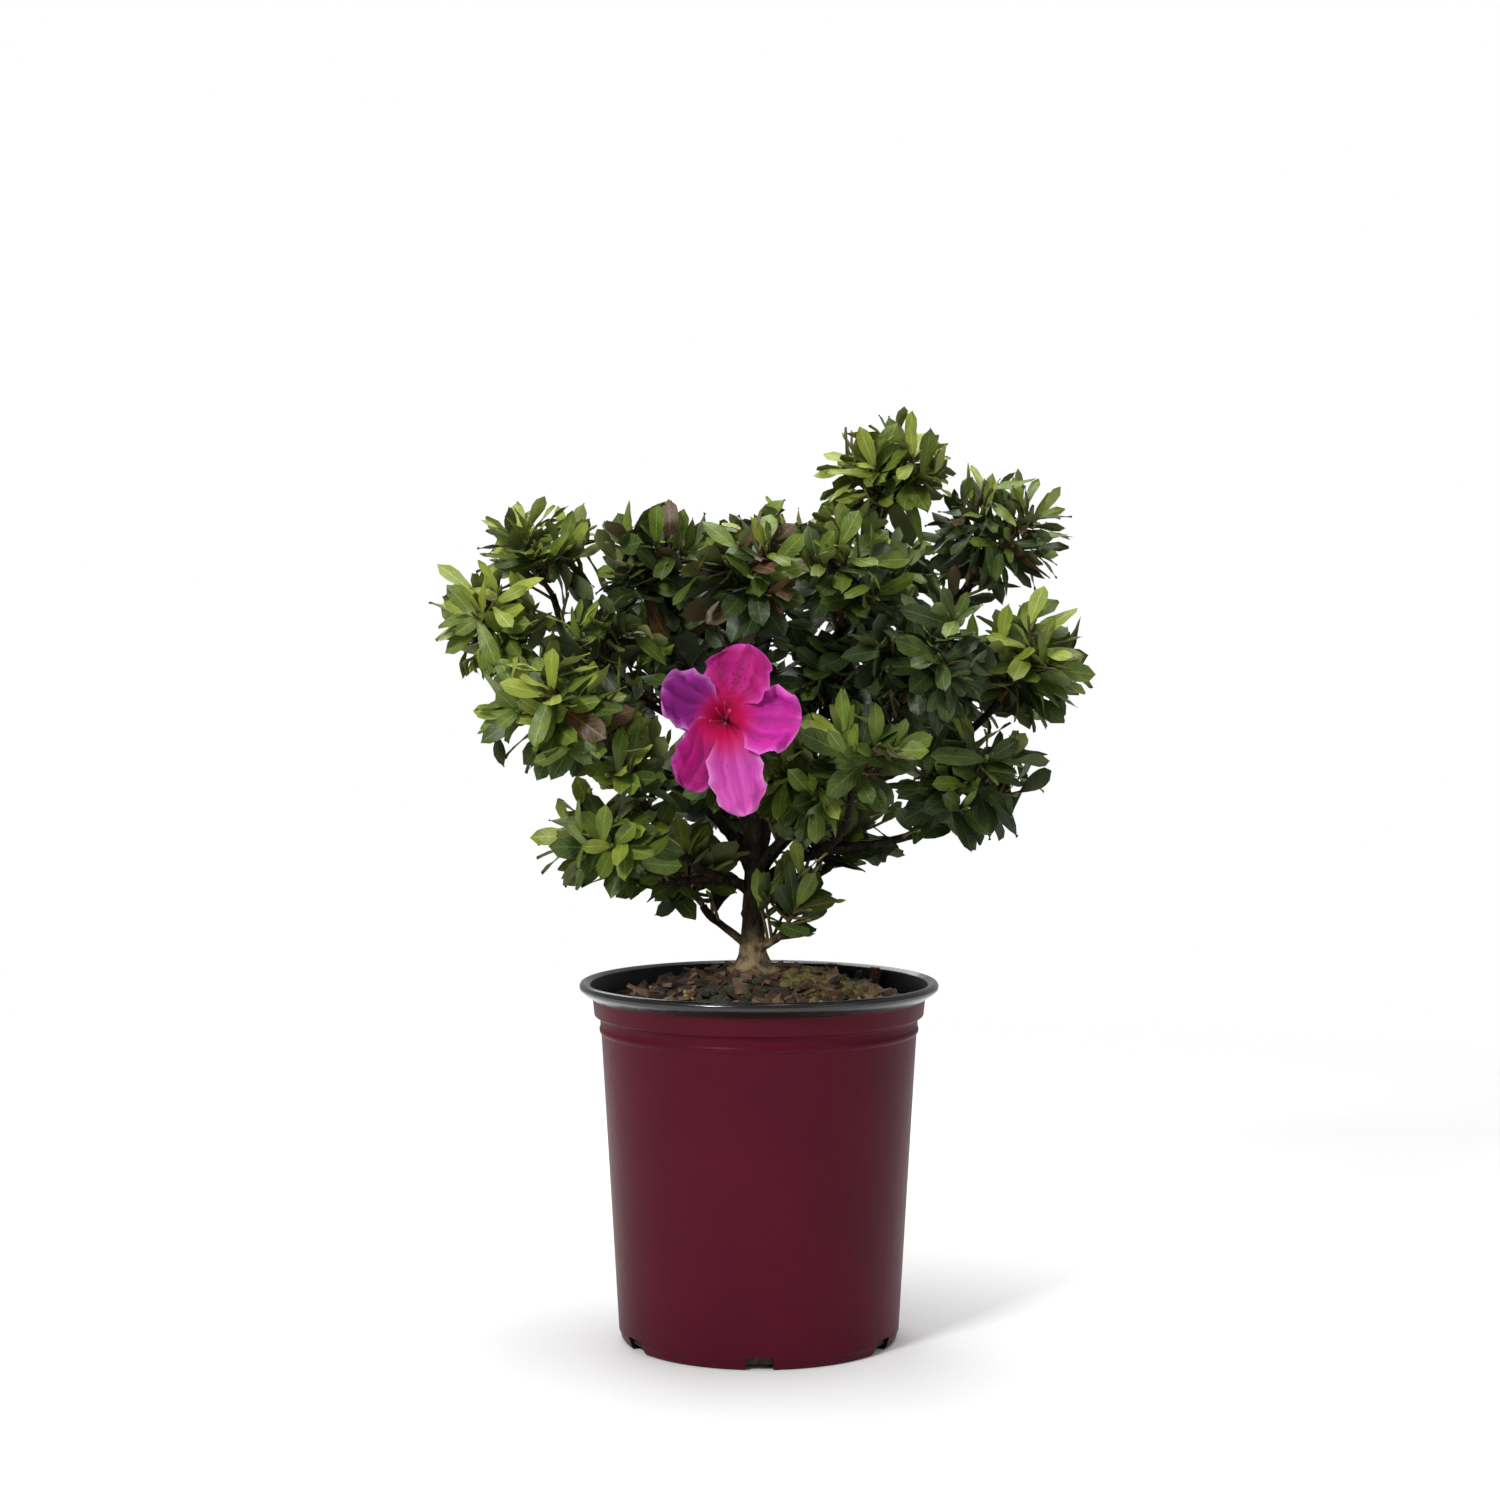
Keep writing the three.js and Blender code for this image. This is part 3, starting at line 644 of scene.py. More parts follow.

# Each spray: its middle (heading round the trunk, distance out, height), its reach across, deep and up, its
# shoots, the limb its bough forks off, how far along, the bough's girth there, and how young its leaves are,
# which also paints its leaves lighter or darker as painted light
sprays = [
    ("centre_top", -94, 66, 459, (40, 42, 46), 4, "trunk", 1, 4.6, 0.36),
    ("spire", 0, 84, 518, (40, 40, 44), 5, "trunk", 0.95, 4.6, 0.84),
    ("left_tip", -175, 155, 430, (36, 38, 42), 4, "trunk", 0.9, 4.3, 0.84),
    ("right_tip", -3, 165, 409, (40, 42, 46), 4, "trunk", 0.86, 4.2, 0.74),
    ("centre_left_top", -154, 63, 465, (42, 42, 42), 4, "trunk", 0.97, 4, 0.38),
    ("centre_back", 86, 118, 380, (48, 46, 50), 4, "trunk", 0.88, 3.9, 0.4),
    ("right_low", -8, 135, 338, (46, 44, 44), 4, "trunk", 0.74, 3.7, 0.34),
    ("left_low", -150, 100, 304, (48, 44, 37), 4, "trunk", 0.7, 3.7, 0.6),
    ("front_right", -65, 72, 342, (32, 36, 40), 3, "trunk", 0.8, 3.6, 0.74),
    ("low_right", 8, 64, 305, (36, 34, 30), 2, "trunk", 0.6, 3.2, 0.4),
    ("low_stem_right", -44, 38, 266, (28, 26, 32), 2, "trunk", 0.08, 2.6, 0.45),
    ("low_stem_left", -170, 39, 280, (31, 27, 29), 2, "trunk", 0.1, 2.6, 0.45),
    ("left_top", 171, 131, 474, (40, 40, 36), 4, "left_tip", 0.5, 3.2, 0.68),
    ("left_mid", -146, 138, 381, (48, 42, 42), 4, "left_tip", 0.36, 3.4, 0.62),
    ("left_back", 138, 142, 389, (46, 46, 46), 4, "left_tip", 0.3, 3.6, 0.4),
    ("left_inner", -155, 101, 420, (38, 36, 40), 2, "centre_left_top", 0.42, 3, 0.52),
    ("left_front_low", -138, 98, 348, (34, 34, 32), 2, "left_low", 0.34, 3, 0.7),
    ("centre_left_back", 117, 120, 424, (42, 44, 44), 3, "centre_left_top", 0.34, 3.4, 0.4),
    ("centre_top_back", 79, 71, 470, (42, 46, 40), 4, "centre_top", 0.42, 3.4, 0.45),
    ("right_top", 6, 150, 487, (46, 42, 44), 4, "spire", 0.3, 3.6, 0.46),
    ("right_top_inner", -41, 76, 457, (44, 42, 46), 4, "spire", 0.48, 3.2, 0.46),
    ("right_back_top", 50, 122, 455, (44, 44, 44), 3, "spire", 0.36, 3.4, 0.4),
    ("right_centre", -41, 124, 412, (46, 42, 46), 4, "right_tip", 0.4, 3.4, 0.2),
    ("centre_right", -40, 68, 408, (36, 34, 40), 2, "spire", 0.2, 3, 0.14),
    ("right_back", 40, 147, 389, (48, 46, 46), 4, "right_tip", 0.3, 3.6, 0.42),
    ("right_front_low", -56, 112, 360, (38, 38, 36), 3, "right_low", 0.36, 3, 0.55),
    ("low_back", 97, 84, 322, (46, 42, 40), 3, "trunk", 0.64, 3.6, 0.4),
    ("blossom", -99, 96, 364, (36, 36, 42), 2, "centre_top", 0.24, 3.2, 0.45),
]
sprayParts = ("name", "heading", "out", "height", "reach", "shoots", "from", "at", "girth", "youth")
sprays = [dict(zip(sprayParts, row)) for row in sprays]


def growLimbs():
    foot, rise = trunk["foot"], trunk["rise"]
    top = foot + trunk["lean"] + up * rise
    flare = trunk["flareRadius"] - trunk["neckRadius"]
    made = {
        "trunk": {
            "curve": [foot, foot + up * rise / 2, top],
            "radiusAt": lambda part: between(trunk["neckRadius"], trunk["forkRadius"], part)
            + flare * math.exp(-part * rise / trunk["flareHeight"]),
        }
    }
    for index, spray in enumerate(sprays):
        heading = math.radians(spray["heading"])
        out = Vector((math.cos(heading), math.sin(heading), 0)) * spray["out"]
        spray["middle"] = Vector((foot.x, foot.y, spray["height"])) + out
        spray["span"] = sum(spray["reach"]) / 3
        spray["inner"] = space["inner"]
        spray["turn"] = shoot["turn"] * index
        spray["number"] = index
        parent = made[spray["from"]]["curve"]
        start, leaving = pointOn(parent, spray["at"]), directionOn(parent, spray["at"])
        towards = (spray["middle"] - start).normalized()
        arriving = (towards + up * bough["lift"]).normalized()
        end = spray["middle"] - arriving * spray["span"] * bough["enters"]
        length = (end - start).length
        bend = start + leaving.lerp(towards, 0.5).normalized() * length * bough["leaves"]
        spray["foot"] = end + arriving * bough["gap"]
        made[spray["name"]] = {
            "curve": [start, bend, end - arriving * length * bough["arrives"], end],
            "radiusAt": lambda part, girth=spray["girth"]: between(
                girth, bough["tipRadius"], math.sqrt(part)
            ),
        }
    return made


limbs = growLimbs()
for spray in sprays:
    apart = [(other, (other["middle"] - spray["middle"]).length) for other in sprays if other is not spray]
    spray["neighbours"] = [(other, distance) for other, distance in apart if distance < space["neighbours"]]


def limbStretches():
    made = []
    for name, limb in limbs.items():
        for i in range(space["stretches"]):
            ends = [i / space["stretches"], (i + 1) / space["stretches"]]
            points = [pointOn(limb["curve"], part) for part in ends]
            made.append((name, *points, max(limb["radiusAt"](part) for part in ends)))
    return made


stretches = limbStretches()


def stretchesNear(place, distance):
    return [s for s in stretches if ((s[1] + s[2]) / 2 - place).length < distance]


def clearOf(points, wood, distance, exceptOne=None):
    for name, start, end, radius in wood:
        if name == exceptOne:
            continue
        line = end - start
        for point in points:
            part = min(max((point - start).dot(line) / line.length_squared, 0), 1)
            if (start + line * part - point).length <= radius + distance:
                return False
    return True


# A spray's finer growth may fill more of the crown's inside than its solid does, but no more of the outside
def keepsToSpace(points, spray, fullness=space["fullness"], roomy=False):
    for point in points:
        offset = point - spray["middle"]
        inward = offset.normalized().dot((space["middle"] - spray["middle"]).normalized())
        allowed = fullness * between(1, spray["inner"], max(inward, 0) if roomy else 0)
        if sum((c / reach) ** 2 for c, reach in zip(offset, spray["reach"])) > allowed:
            return False
        own = offset.length_squared - spray["span"] ** 2
        for other, distance in spray["neighbours"]:
            its = (point - other["middle"]).length_squared - other["span"] ** 2
            if its - own <= 2 * space["margin"] * distance:
                return False
    return True


# Shoot tips on a spiral through the spray's space, the one farthest from the bough first
def shootTips(spray, draw):
    inner = [max(reach - shoot["leaf"] * shoot["inset"], shoot["least"]) for reach in spray["reach"]]
    tips = []
    for i in range(spray["shoots"]):
        level = shoot["top"] - shoot["drop"] * (i + 0.5) / spray["shoots"]
        turn = math.radians(spray["turn"] + i * shoot["spread"] + shoot["wobble"] * (draw() - 0.5))
        flat = math.sqrt(1 - level * level)
        place = (flat * math.cos(turn), flat * math.sin(turn), level)
        offset = Vector([c * size * (0.9 + 0.2 * draw()) for c, size in zip(place, inner)])
        tips.append(spray["middle"] + offset)
    return sorted(tips, key=lambda tip: -(tip - spray["foot"]).length)


# The stem runs to the farthest tip, and the other twigs fork off it in turn
def growTwigs(spray):
    leader, *others = shootTips(spray, seeded(1000 + 37 * spray["number"]))
    foot = spray["foot"]
    made = [(foot, leader, twig["footRadius"])]
    for tip in others:
        part = max(twig["forks"] * (tip - foot).length / (leader - foot).length, twig["lowest"])
        made.append((foot.lerp(leader, part), tip, between(twig["footRadius"], twig["tipRadius"], part)))
    return [grown for grown in made if twigHasRoom(spray, *grown[:2])]


def twigHasRoom(spray, start, tip):
    spots = [start.lerp(tip, part / 10) for part in range(1, 11)]
    near, far = spots[:3], spots[3:]
    if not clearOf(near, stretches, twig["clear"], spray["name"]):
        return False
    return clearOf(far, stretches, twig["clear"]) and keepsToSpace(far, spray)


# Finer growth within the same reach: side shoots off each twig, and a whorl of leaves at every end
fine = {
    "sideShoots": 6,
    "twigStretch": (0.1, 0.92),
    "boughShoots": 6,
    "boughStretch": (0.55, 0.98),
    "innerShoots": 9,
    "innerStretch": (0.3, 0.8),
    "length": (13, 27),
    "tilt": (36, 66),
    "rise": 0.25,
    "fullness": 1,
    "woodNear": 70,
    "bow": 0.07,
    "shortest": 0.3,
    "cutBack": 0.05,
    "woodRadius": 1.7,
    "sideRadius": 1.2,
    "shootRadius": 0.85,
}
whorl = {
    "leaves": 9,
    "sideLeaves": 7,
    "loneLeaves": 5,
    "loneStretch": (0.2, 0.75),
    "loneTilt": 74,
    "loneLevel": 0.2,
    "height": 15,
    "top": 0.5,
    "lowest": 0.2,
    "lowTilt": 92,
    "highTilt": 30,
    "shortest": 0.68,
    "sizes": (0.84, 1.08),
    "spread": 137.5,
    "wobble": 12,
    "droop": 0.16,
    "roll": 16,
    "clear": 0.8,
    "fullness": 1.16,
    "leavesNear": 62,
    "woodNear": 80,
}
tries = {"sizes": (1, 0.84), "turns": (0, 24, -24, 48)}  # before a leaf that finds no room is left out
# Masses that are sparser or fuller than the rest
thinner = {
    "low_stem_right": 0.62, "low_stem_left": 1.1, "low_right": 0.8, "left_low": 0.86, "right_low": 0.9,
    "left_mid": 0.9, "left_tip": 0.94, "left_top": 0.94, "right_top": 0.9, "spire": 0.94,
}

# A leaf: widest past its middle, folded along its midrib, arched, with a short stalk
leaf = {
    "length": 39,
    "width": 15,
    "rows": 6,
    "columns": (-1, -0.58, -0.07, 0.07, 0.58, 1),
    "thickness": 0.5,
    "stalk": 0.07,
    "kinds": 8,
    "fold": (0.04, 0.3),
    "arch": (0.02, 0.2),
    "twist": (-0.35, 0.35),
    "wave": 0.035,
}


def leafWidth(part):
    return max(part * (1 - part) ** 0.56 / 0.361, leaf["stalk"])  # 0.361 makes its greatest value 1


# One kind of leaf, a unit long: a flat grid given its outline, then thickened with a sharp rim
def leafMesh(draw):
    bm = bmesh.new()
    bm.loops.layers.uv.new("UVMap")
    count = len(leaf["columns"]) - 1
    bmesh.ops.create_grid(bm, x_segments=count, y_segments=leaf["rows"], size=1, calc_uvs=True)
    fold, arch = (between(*leaf[key], draw()) for key in ("fold", "arch"))
    phase, twist = 6 * draw(), between(*leaf["twist"], draw())
    half = leaf["width"] / leaf["length"] / 2
    for v in bm.verts:
        part = ((v.co.y + 1) / 2) ** 0.9
        side = leaf["columns"][round((v.co.x + 1) / 2 * count)]
        width = half * leafWidth(part) * side if part < 1 else 0
        wave = leaf["wave"] * math.sin(8 * part + phase) * side * abs(side)
        lift = fold * abs(width) - arch * part ** 2 + wave
        v.co = (width, part, lift + twist * width * part)
    for face in bm.faces:
        face.material_index = 2 if abs(face.calc_center_median().x) < 0.01 else 0
    closeShell(bm, leaf["thickness"] / leaf["length"], 1)
    return meshOf(bm, "leaf")


# A sheet gets an underside that meets it in a sharp rim
def closeShell(bm, thickness, underMaterial):
    copied = bmesh.ops.duplicate(bm, geom=bm.verts[:] + bm.edges[:] + bm.faces[:])["geom"]
    under = [g for g in copied if isinstance(g, bmesh.types.BMFace)]
    for v in [g for g in copied if isinstance(g, bmesh.types.BMVert)]:
        if not v.is_boundary:
            v.co.z -= thickness
    for face in under:
        face.material_index = underMaterial
    bmesh.ops.reverse_faces(bm, faces=under)
    bmesh.ops.remove_doubles(bm, verts=bm.verts[:], dist=0.0004)
    for edge in bm.edges:
        kinds = {face.material_index == underMaterial for face in edge.link_faces}
        edge.smooth = len(kinds) == 1


leafKinds = [leafMesh(seeded(900 + 61 * i)) for i in range(leaf["kinds"])]


# The finer shoots of a spray: each has its line, the radius it starts with, and its number of leaves
def growShoots(spray, draw):
    made = []
    for start, tip, radius in growTwigs(spray):
        part = 1
        while not clearOfFlower([start.lerp(tip, part)]) and part > fine["shortest"]:
            part -= fine["cutBack"]
        line = bowed(start, start.lerp(tip, part), draw)
        made.append({"line": line, "from": min(radius, fine["woodRadius"]), "leaves": whorl["leaves"]})
        addSideShoots(spray, made, line, fine["sideShoots"], fine["twigStretch"], draw)
    if not spray["name"].startswith("low_"):
        addSideShoots(spray, made, boughOf(spray), fine["boughShoots"], fine["boughStretch"], draw)
    return made


def boughOf(spray):
    return limbs[spray["name"]]["curve"]


# Shoots that fork off a stretch of a twig or bough, where there is room for them
def addSideShoots(spray, made, line, count, stretch, draw):
    for i in range(count):
        part = between(*stretch, (i + draw()) / count)
        place, along = pointOn(line, part), directionOn(line, part)
        heading = tilted(along, between(*fine["tilt"], draw()), i * whorl["spread"] + 360 * draw())
        end = place + (heading + up * fine["rise"]).normalized() * between(*fine["length"], draw())
        spots = [place.lerp(end, 0.6), end]
        if not keepsToSpace(spots, spray, fine["fullness"], roomy=True):
            continue
        if clearOf(spots, stretchesNear(end, fine["woodNear"]), twig["clear"]) and clearOfFlower(spots):
            side = bowed(place, end, draw)
            made.append({"line": side, "from": fine["sideRadius"], "leaves": whorl["sideLeaves"]})


def bowed(start, end, draw):
    length = (end - start).length
    aside = tilted((end - start).normalized(), 90, 360 * draw()) * length * fine["bow"]
    return [start, start.lerp(end, 0.5) + aside, end]


# Single leaves that stick out of the crown: how they are set, and where their tips are
stray = {"longest": 1.08, "fullness": 2.4, "level": 0.6, "toFront": 0.55}
strays = {
    "left_tip": [(-189, -15, 468), (-193, -20, 446), (-194, -10, 422), (-175, -25, 402)],
    "left_mid": [(-150, -75, 358)],
    "left_top": [(-161, 18, 497), (-140, 24, 502), (-114, 20, 497)],
    "right_top": [(167, 14, 519), (184, 10, 488), (187, 20, 480), (139, 18, 520)],
    "spire": [(76, 0, 557), (102, 4, 550), (109, -8, 525)],
    "right_tip": [(174, -14, 448), (184, -6, 434), (194, -12, 415), (192, -4, 392)],
    "right_low": [(171, -20, 354), (148, -24, 314), (90, -30, 301)],
    "left_low": [(-115, -52, 281), (-125, -46, 311)],
    "low_stem_left": [(-64, -12, 268), (-36, -16, 259), (-48, -4, 262), (-56, 4, 274)],
}


def growStrays(spray, shoots):
    grown = []
    for place in strays.get(spray["name"], []):
        ways = [Vector(place) - one["line"][-1] for one in shoots]
        number = min(range(len(ways)), key=lambda i: abs(ways[i].length - leaf["length"]))
        length = min(ways[number].length, leaf["length"] * stray["longest"])
        along = ways[number].normalized()
        facing = squareTo(up - Vector((0, stray["toFront"], 0)), along)
        made = leafOutline(shoots[number]["line"][-1], along, facing, length)
        made.update(level=stray["level"], shoot=number)
        if keepsToSpace(made["spots"], spray, stray["fullness"], roomy=True) and clearOfFlower(made["spots"]):
            grown.append(made)
    return grown


# Leaves in a spiral round a shoot's end, flat or hanging at the bottom and upright at the top. They grow on
# the shoots from the first on, clear of the leaves that were there before.
def growLeaves(spray, shoots, draw, first=0, before=()):
    grown = list(before) or growStrays(spray, shoots)
    for number, one in enumerate(shoots[first:], first):
        length = (one["line"][-1] - one["line"][0]).length
        begin = 360 * draw()
        lone = whorl["loneLeaves"] if one["leaves"] == whorl["leaves"] else 0
        for i in range(one["leaves"] + lone):
            level = min(i / (one["leaves"] - 1), 1)
            part = max(1 - between(whorl["height"], whorl["top"], level) / length, whorl["lowest"])
            tilt = between(whorl["lowTilt"], whorl["highTilt"], level)
            if i >= one["leaves"]:  # single leaves stand further down the twig
                level, tilt = whorl["loneLevel"], whorl["loneTilt"]
                part = between(*whorl["loneStretch"], (i - one["leaves"] + draw()) / lone)
            size = between(1, whorl["shortest"], level)
            wanted = {
                "root": pointOn(one["line"], part),
                "axis": directionOn(one["line"], part),
                "tilt": tilt + 2 * whorl["wobble"] * (draw() - 0.5),
                "turn": begin + i * whorl["spread"] + 2 * whorl["wobble"] * (draw() - 0.5),
                "length": leaf["length"] * size * between(*whorl["sizes"], draw()),
                "droop": whorl["droop"] * (1 - level) * draw(),
                "roll": 2 * whorl["roll"] * (draw() - 0.5),
                "level": level,
                "shoot": number,
            }
            made = fitLeaf(spray, wanted, grown)
            if made:
                grown.append(made)
    return grown


def fitLeaf(spray, wanted, grown):
    near = [other for other in grown if (other["middle"] - wanted["root"]).length < whorl["leavesNear"]]
    wood = stretchesNear(wanted["root"], whorl["woodNear"])
    for size in tries["sizes"]:
        for turned in tries["turns"]:
            along = tilted(wanted["axis"], wanted["tilt"], wanted["turn"] + turned)
            along = (along - up * wanted["droop"]).normalized()
            face = squareTo(wanted["axis"], along)
            face = Matrix.Rotation(math.radians(wanted["roll"]), 3, along) @ face
            made = leafOutline(wanted["root"], along, face, wanted["length"] * size)
            made.update(level=wanted["level"], shoot=wanted["shoot"])
            if leafHasRoom(made, spray, near, wood):
                return made
    return None


# A leaf's outline, with a triangle on each side of its midrib, to find what it would touch
def leafOutline(root, along, face, length):
    across = along.cross(face)
    half = leaf["width"] / leaf["length"] / 2 * length
    foot, tip = root + along * length * 0.12, root + along * length - face * length * 0.06
    left, right = (root + along * length * 0.6 + across * half * side for side in (-1, 1))
    return {
        "root": root,
        "along": along,
        "face": face,
        "across": across,
        "length": length,
        "middle": root + along * length * 0.55,
        "edges": [(foot, left), (left, tip), (foot, right), (right, tip)],
        "faces": [(foot, left, tip), (foot, right, tip)],
        "spots": [tip, left, right, foot.lerp(tip, 0.4)],
    }


# Openings where the sky is seen through the crown: middle and half size, across and up at the trunk's plane
openings = [
    (-125, 447, 11, 9), (-153, 452, 3, 5), (-101, 467, 5, 4), (-88, 473, 7, 3), (-73, 406, 9, 5),
    (-92, 404, 4, 3), (-61, 388, 3, 7), (-64, 370, 5, 3), (-118, 397, 4, 5), (-138, 366, 16, 3),
    (-101, 320, 8, 3), (-44, 309, 3, 5), (-22, 304, 4, 7), (16, 433, 5, 4), (20, 404, 5, 9),
    (38, 376, 3, 8), (82, 378, 13, 5), (62, 388, 4, 3), (133, 430, 8, 6), (130, 395, 8, 3),
    (133, 367, 4, 7), (73, 340, 12, 5), (122, 322, 3, 9), (79, 492, 4, 4), (96, 498, 5, 3),
    (149, 452, 6, 4), (76, 309, 8, 6), (42, 280, 6, 7), (159, 325, 9, 8), (-90, 274, 12, 5),
    (-178, 413, 9, 4), (-170, 388, 8, 8),
]


def inOpening(points):
    for point in points:
        nearer = view["place"].y / (view["place"].y - point.y)
        x, _, z = view["place"] + (point - view["place"]) * nearer
        if any(((x - a) / wide) ** 2 + ((z - b) / tall) ** 2 < 1 for a, b, wide, tall in openings):
            return True
    return False


def leafHasRoom(made, spray, near, wood):
    spots = made["spots"]
    fullness = whorl["fullness"] * thinner.get(spray["name"], 1)
    if not keepsToSpace(spots, spray, fullness, roomy=True) or not clearOf(spots, wood, whorl["clear"]):
        return False
    if not clearOfFlower([made["root"], *spots]) or inOpening([made["middle"], *spots]):
        return False
    for other in near:
        if passes(made["edges"], other["faces"]) or passes(other["edges"], made["faces"]):
            return False
    return True


# Whether any of these lines passes through any of these triangles
def passes(lines, triangles):
    for start, end in lines:
        line = end - start
        for a, b, c in triangles:
            hit = geometry.intersect_ray_tri(a, b, c, line, start, True)
            if hit is not None and 0 < (hit - start).dot(line) < line.length_squared:
                return True
    return False


# The open flower: a short funnel that parts into five ruffled lobes
flower = {
    "throat": Vector((-19, -94, 375)),
    "looks": Vector((-0.05, -1, 0.12)).normalized(),
    "depth": 27,
    "opens": 9,
    "throatRadius": 2.4,
    "funnel": 14,
    "reach": 57,
    "clear": 5,
    "clearSlope": 0.08,
    "rows": 20,
    "columns": 14,
    "thickness": 0.45,
    "ruffle": 6,
    "scallop": 3,
    "crease": 3.6,
    "overlap": 1.8,
    "stamens": 5,
    "heart": colour(178, 4, 74),
    "freckle": colour(96, 2, 44),
    "stamen": colour(170, 36, 104),
    "anther": colour(60, 22, 36),
}

# Each lobe: its turn (from the right, seen from the front), reach, half width, how far its tip comes forward,
# twist, freckles, and its colour: light, dark and rim. These colours are painted light and shade: the one
# petal colour drawn lighter or darker by how the light falls on each lobe
lobes = [
    (72, 43, 20.5, -3, 0.12, 1, colour(178, 24, 122), colour(124, 8, 70), colour(196, 66, 162)),
    (-3, 44, 21.5, 4, 0.3, 0.3, colour(190, 36, 150), colour(140, 12, 110), colour(204, 92, 184)),
    (-77, 57, 16, 9, -0.12, 0, colour(194, 78, 164), colour(160, 44, 136), colour(214, 128, 194)),
    (-119, 45, 15.8, -7, -0.12, 0, colour(168, 12, 114), colour(108, 4, 68), colour(180, 60, 150)),
    (-206, 37, 17.5, 13, 0.18, 0.3, colour(152, 36, 142), colour(102, 14, 92), colour(192, 108, 188)),
]
lobeParts = ("turn", "reach", "half", "forward", "twist", "freckles", "light", "dark", "rim")
lobes = [dict(zip(lobeParts, row)) for row in lobes]
for number, lobe in enumerate(lobes):  # each leans aside from its own fifth of the funnel
    lobe["aside"] = math.radians(lobe["turn"] - lobes[0]["turn"] + 72 * number)


def flowerAxes():
    axis = flower["looks"]
    right = squareTo(Vector((1, 0, 0)), axis)
    return axis, right, axis.cross(right)


def inFlower(turn, radius, height):
    axis, right, over = flowerAxes()
    flat = right * math.cos(turn) + over * math.sin(turn)
    return flower["throat"] + flat * radius + axis * height


def petalHeight(radius):
    return flower["depth"] * (1 - math.exp(-radius / flower["opens"]))


# Nothing else grows in front of the petals
def clearOfFlower(points):
    for point in points:
        offset = point - flower["throat"]
        height = offset.dot(flower["looks"])
        radius = (offset - flower["looks"] * height).length
        lowest = petalHeight(radius) - flower["clear"] - flower["clearSlope"] * radius
        if radius < flower["reach"] and height > lowest:
            return False
    return True


# Leafy shoots off a bough fill the inside of the crown, farther in than the rest of its spray
def growInside(spray, draw):
    spray["inner"] = space["innermost"]
    first, outer = len(spray["grown"]), len(spray["leafList"])
    addSideShoots(spray, spray["grown"], boughOf(spray), fine["innerShoots"], fine["innerStretch"], draw)
    spray["innerLeaves"] = growLeaves(spray, spray["grown"], draw, first, spray["leafList"])[outer:]


# Grow everything before any mesh is made
def growAll():
    for spray in sprays:
        draw = seeded(5000 + 53 * spray["number"])
        spray["grown"] = growShoots(spray, draw)
        spray["leafList"] = growLeaves(spray, spray["grown"], draw)
        growInside(spray, seeded(7000 + 41 * spray["number"]))
    leaves = sum(len(s["leafList"]) + len(s["innerLeaves"]) for s in sprays)
    print("leaves", leaves, "shoots", sum(len(s["grown"]) for s in sprays))


growAll()

# Bark: fissured and grey-brown on the trunk, redder on young shoots
bark = {
    "step": 2.6,
    "ridge": 0.13,
    "ridgesRound": 1.4,
    "ridgeLength": 20,
    "grainSize": 3,
    "knot": 0.16,
    "knotEvery": 17,
    "knotSharpness": 12,
    "collar": 0.35,
    "collarLength": 7,
    "sunk": 7,
    "buttress": 0.24,
    "buttressHeight": 9,
    "buttressReach": 34,
    # The bark's light and dark are drawn darker than the bark itself, partly as painted shade of the crown on
    # trunk and boughs
    "light": colour(47, 38, 28),
    "dark": colour(14, 11, 8),
    # A paler colour painted in patches at the trunk's foot: partly dry dust, partly painted light on the lit
    # foot
    "footDustAndLight": colour(168, 145, 110),
    "footLevels": (233, 252),
    "stretch": (1, 1, 0.32),
    "patches": 170,
    "patchBand": (0.38, 0.62),
    "patchShare": (0.2, 0.8),
    "twigLight": colour(116, 76, 48),
    "twigDark": colour(64, 41, 27),
    "shootLight": colour(100, 88, 46),
    "shootDark": colour(76, 52, 32),
}


def limbLine(name, limb):
    curve = limb["curve"]
    length = sum((pointOn(curve, (i + 1) / 20) - pointOn(curve, i / 20)).length for i in range(20))
    count = max(round(length / bark["step"]), 8)
    points, radii = [], []
    if name == "trunk":
        points.append(curve[0] - up * bark["sunk"])
        radii.append(limb["radiusAt"](0) * 1.02)
    for i in range(count + 1):
        part = i / count
        distance = part * length
        swell = max(0, math.cos(distance / bark["knotEvery"] * 2 * math.pi)) ** bark["knotSharpness"]
        collar = 0 if name == "trunk" else bark["collar"] * math.exp(-distance / bark["collarLength"])
        points.append(pointOn(curve, part))
        radii.append(limb["radiusAt"](part) * (1 + swell * bark["knot"] + collar))
    return points, radii


# The bark is painted paler in patches near the soil: partly dry dust, partly painted light where the foot is
# lit and the trunk above lies in the crown's shade
def paintFootDustAndLight(tree):
    place = tree.nodes["Texture Coordinate"].outputs["Object"]
    height = addNode(tree, "SeparateXYZ", {0: place}).outputs["Z"]
    low, high = (level * millimetre for level in bark["footLevels"])
    cloud = addNode(tree, "TexNoise", {"Vector": place, "Scale": bark["patches"], "Detail": 6})
    patches = mapped(tree, cloud.outputs["Fac"], *bark["patchBand"], *bark["patchShare"], kind="LINEAR")
    share = mathOf(tree, "MULTIPLY", mapped(tree, height, low, high, 1, 0), patches)
    paintOver(tree, share, bark["footDustAndLight"])


# Bark ridges run along a limb, and the trunk's foot spreads into its roots
def shapeBark(v):
    foot = trunk["foot"]
    turn = math.atan2(v.co.y - foot.y, v.co.x - foot.x)
    ridges = noise.noise(Vector((turn * bark["ridgesRound"], v.co.z / bark["ridgeLength"], 0)) * 2)
    relief = ridges + 0.5 * noise.noise(v.co / bark["grainSize"])
    near = 0
    if (v.co - foot).length < bark["buttressReach"]:
        near = math.exp(-max(v.co.z - foot.z, 0) / bark["buttressHeight"])
    v.co += v.normal * (bark["ridge"] * relief * min((v.co.xy - foot.xy).length, 8) * 0.5)
    spread = 1 + near * bark["buttress"] * (math.sin(3 * turn + 0.6) + 0.4 * math.sin(7 * turn))
    v.co.xy = foot.xy + (v.co.xy - foot.xy) * spread


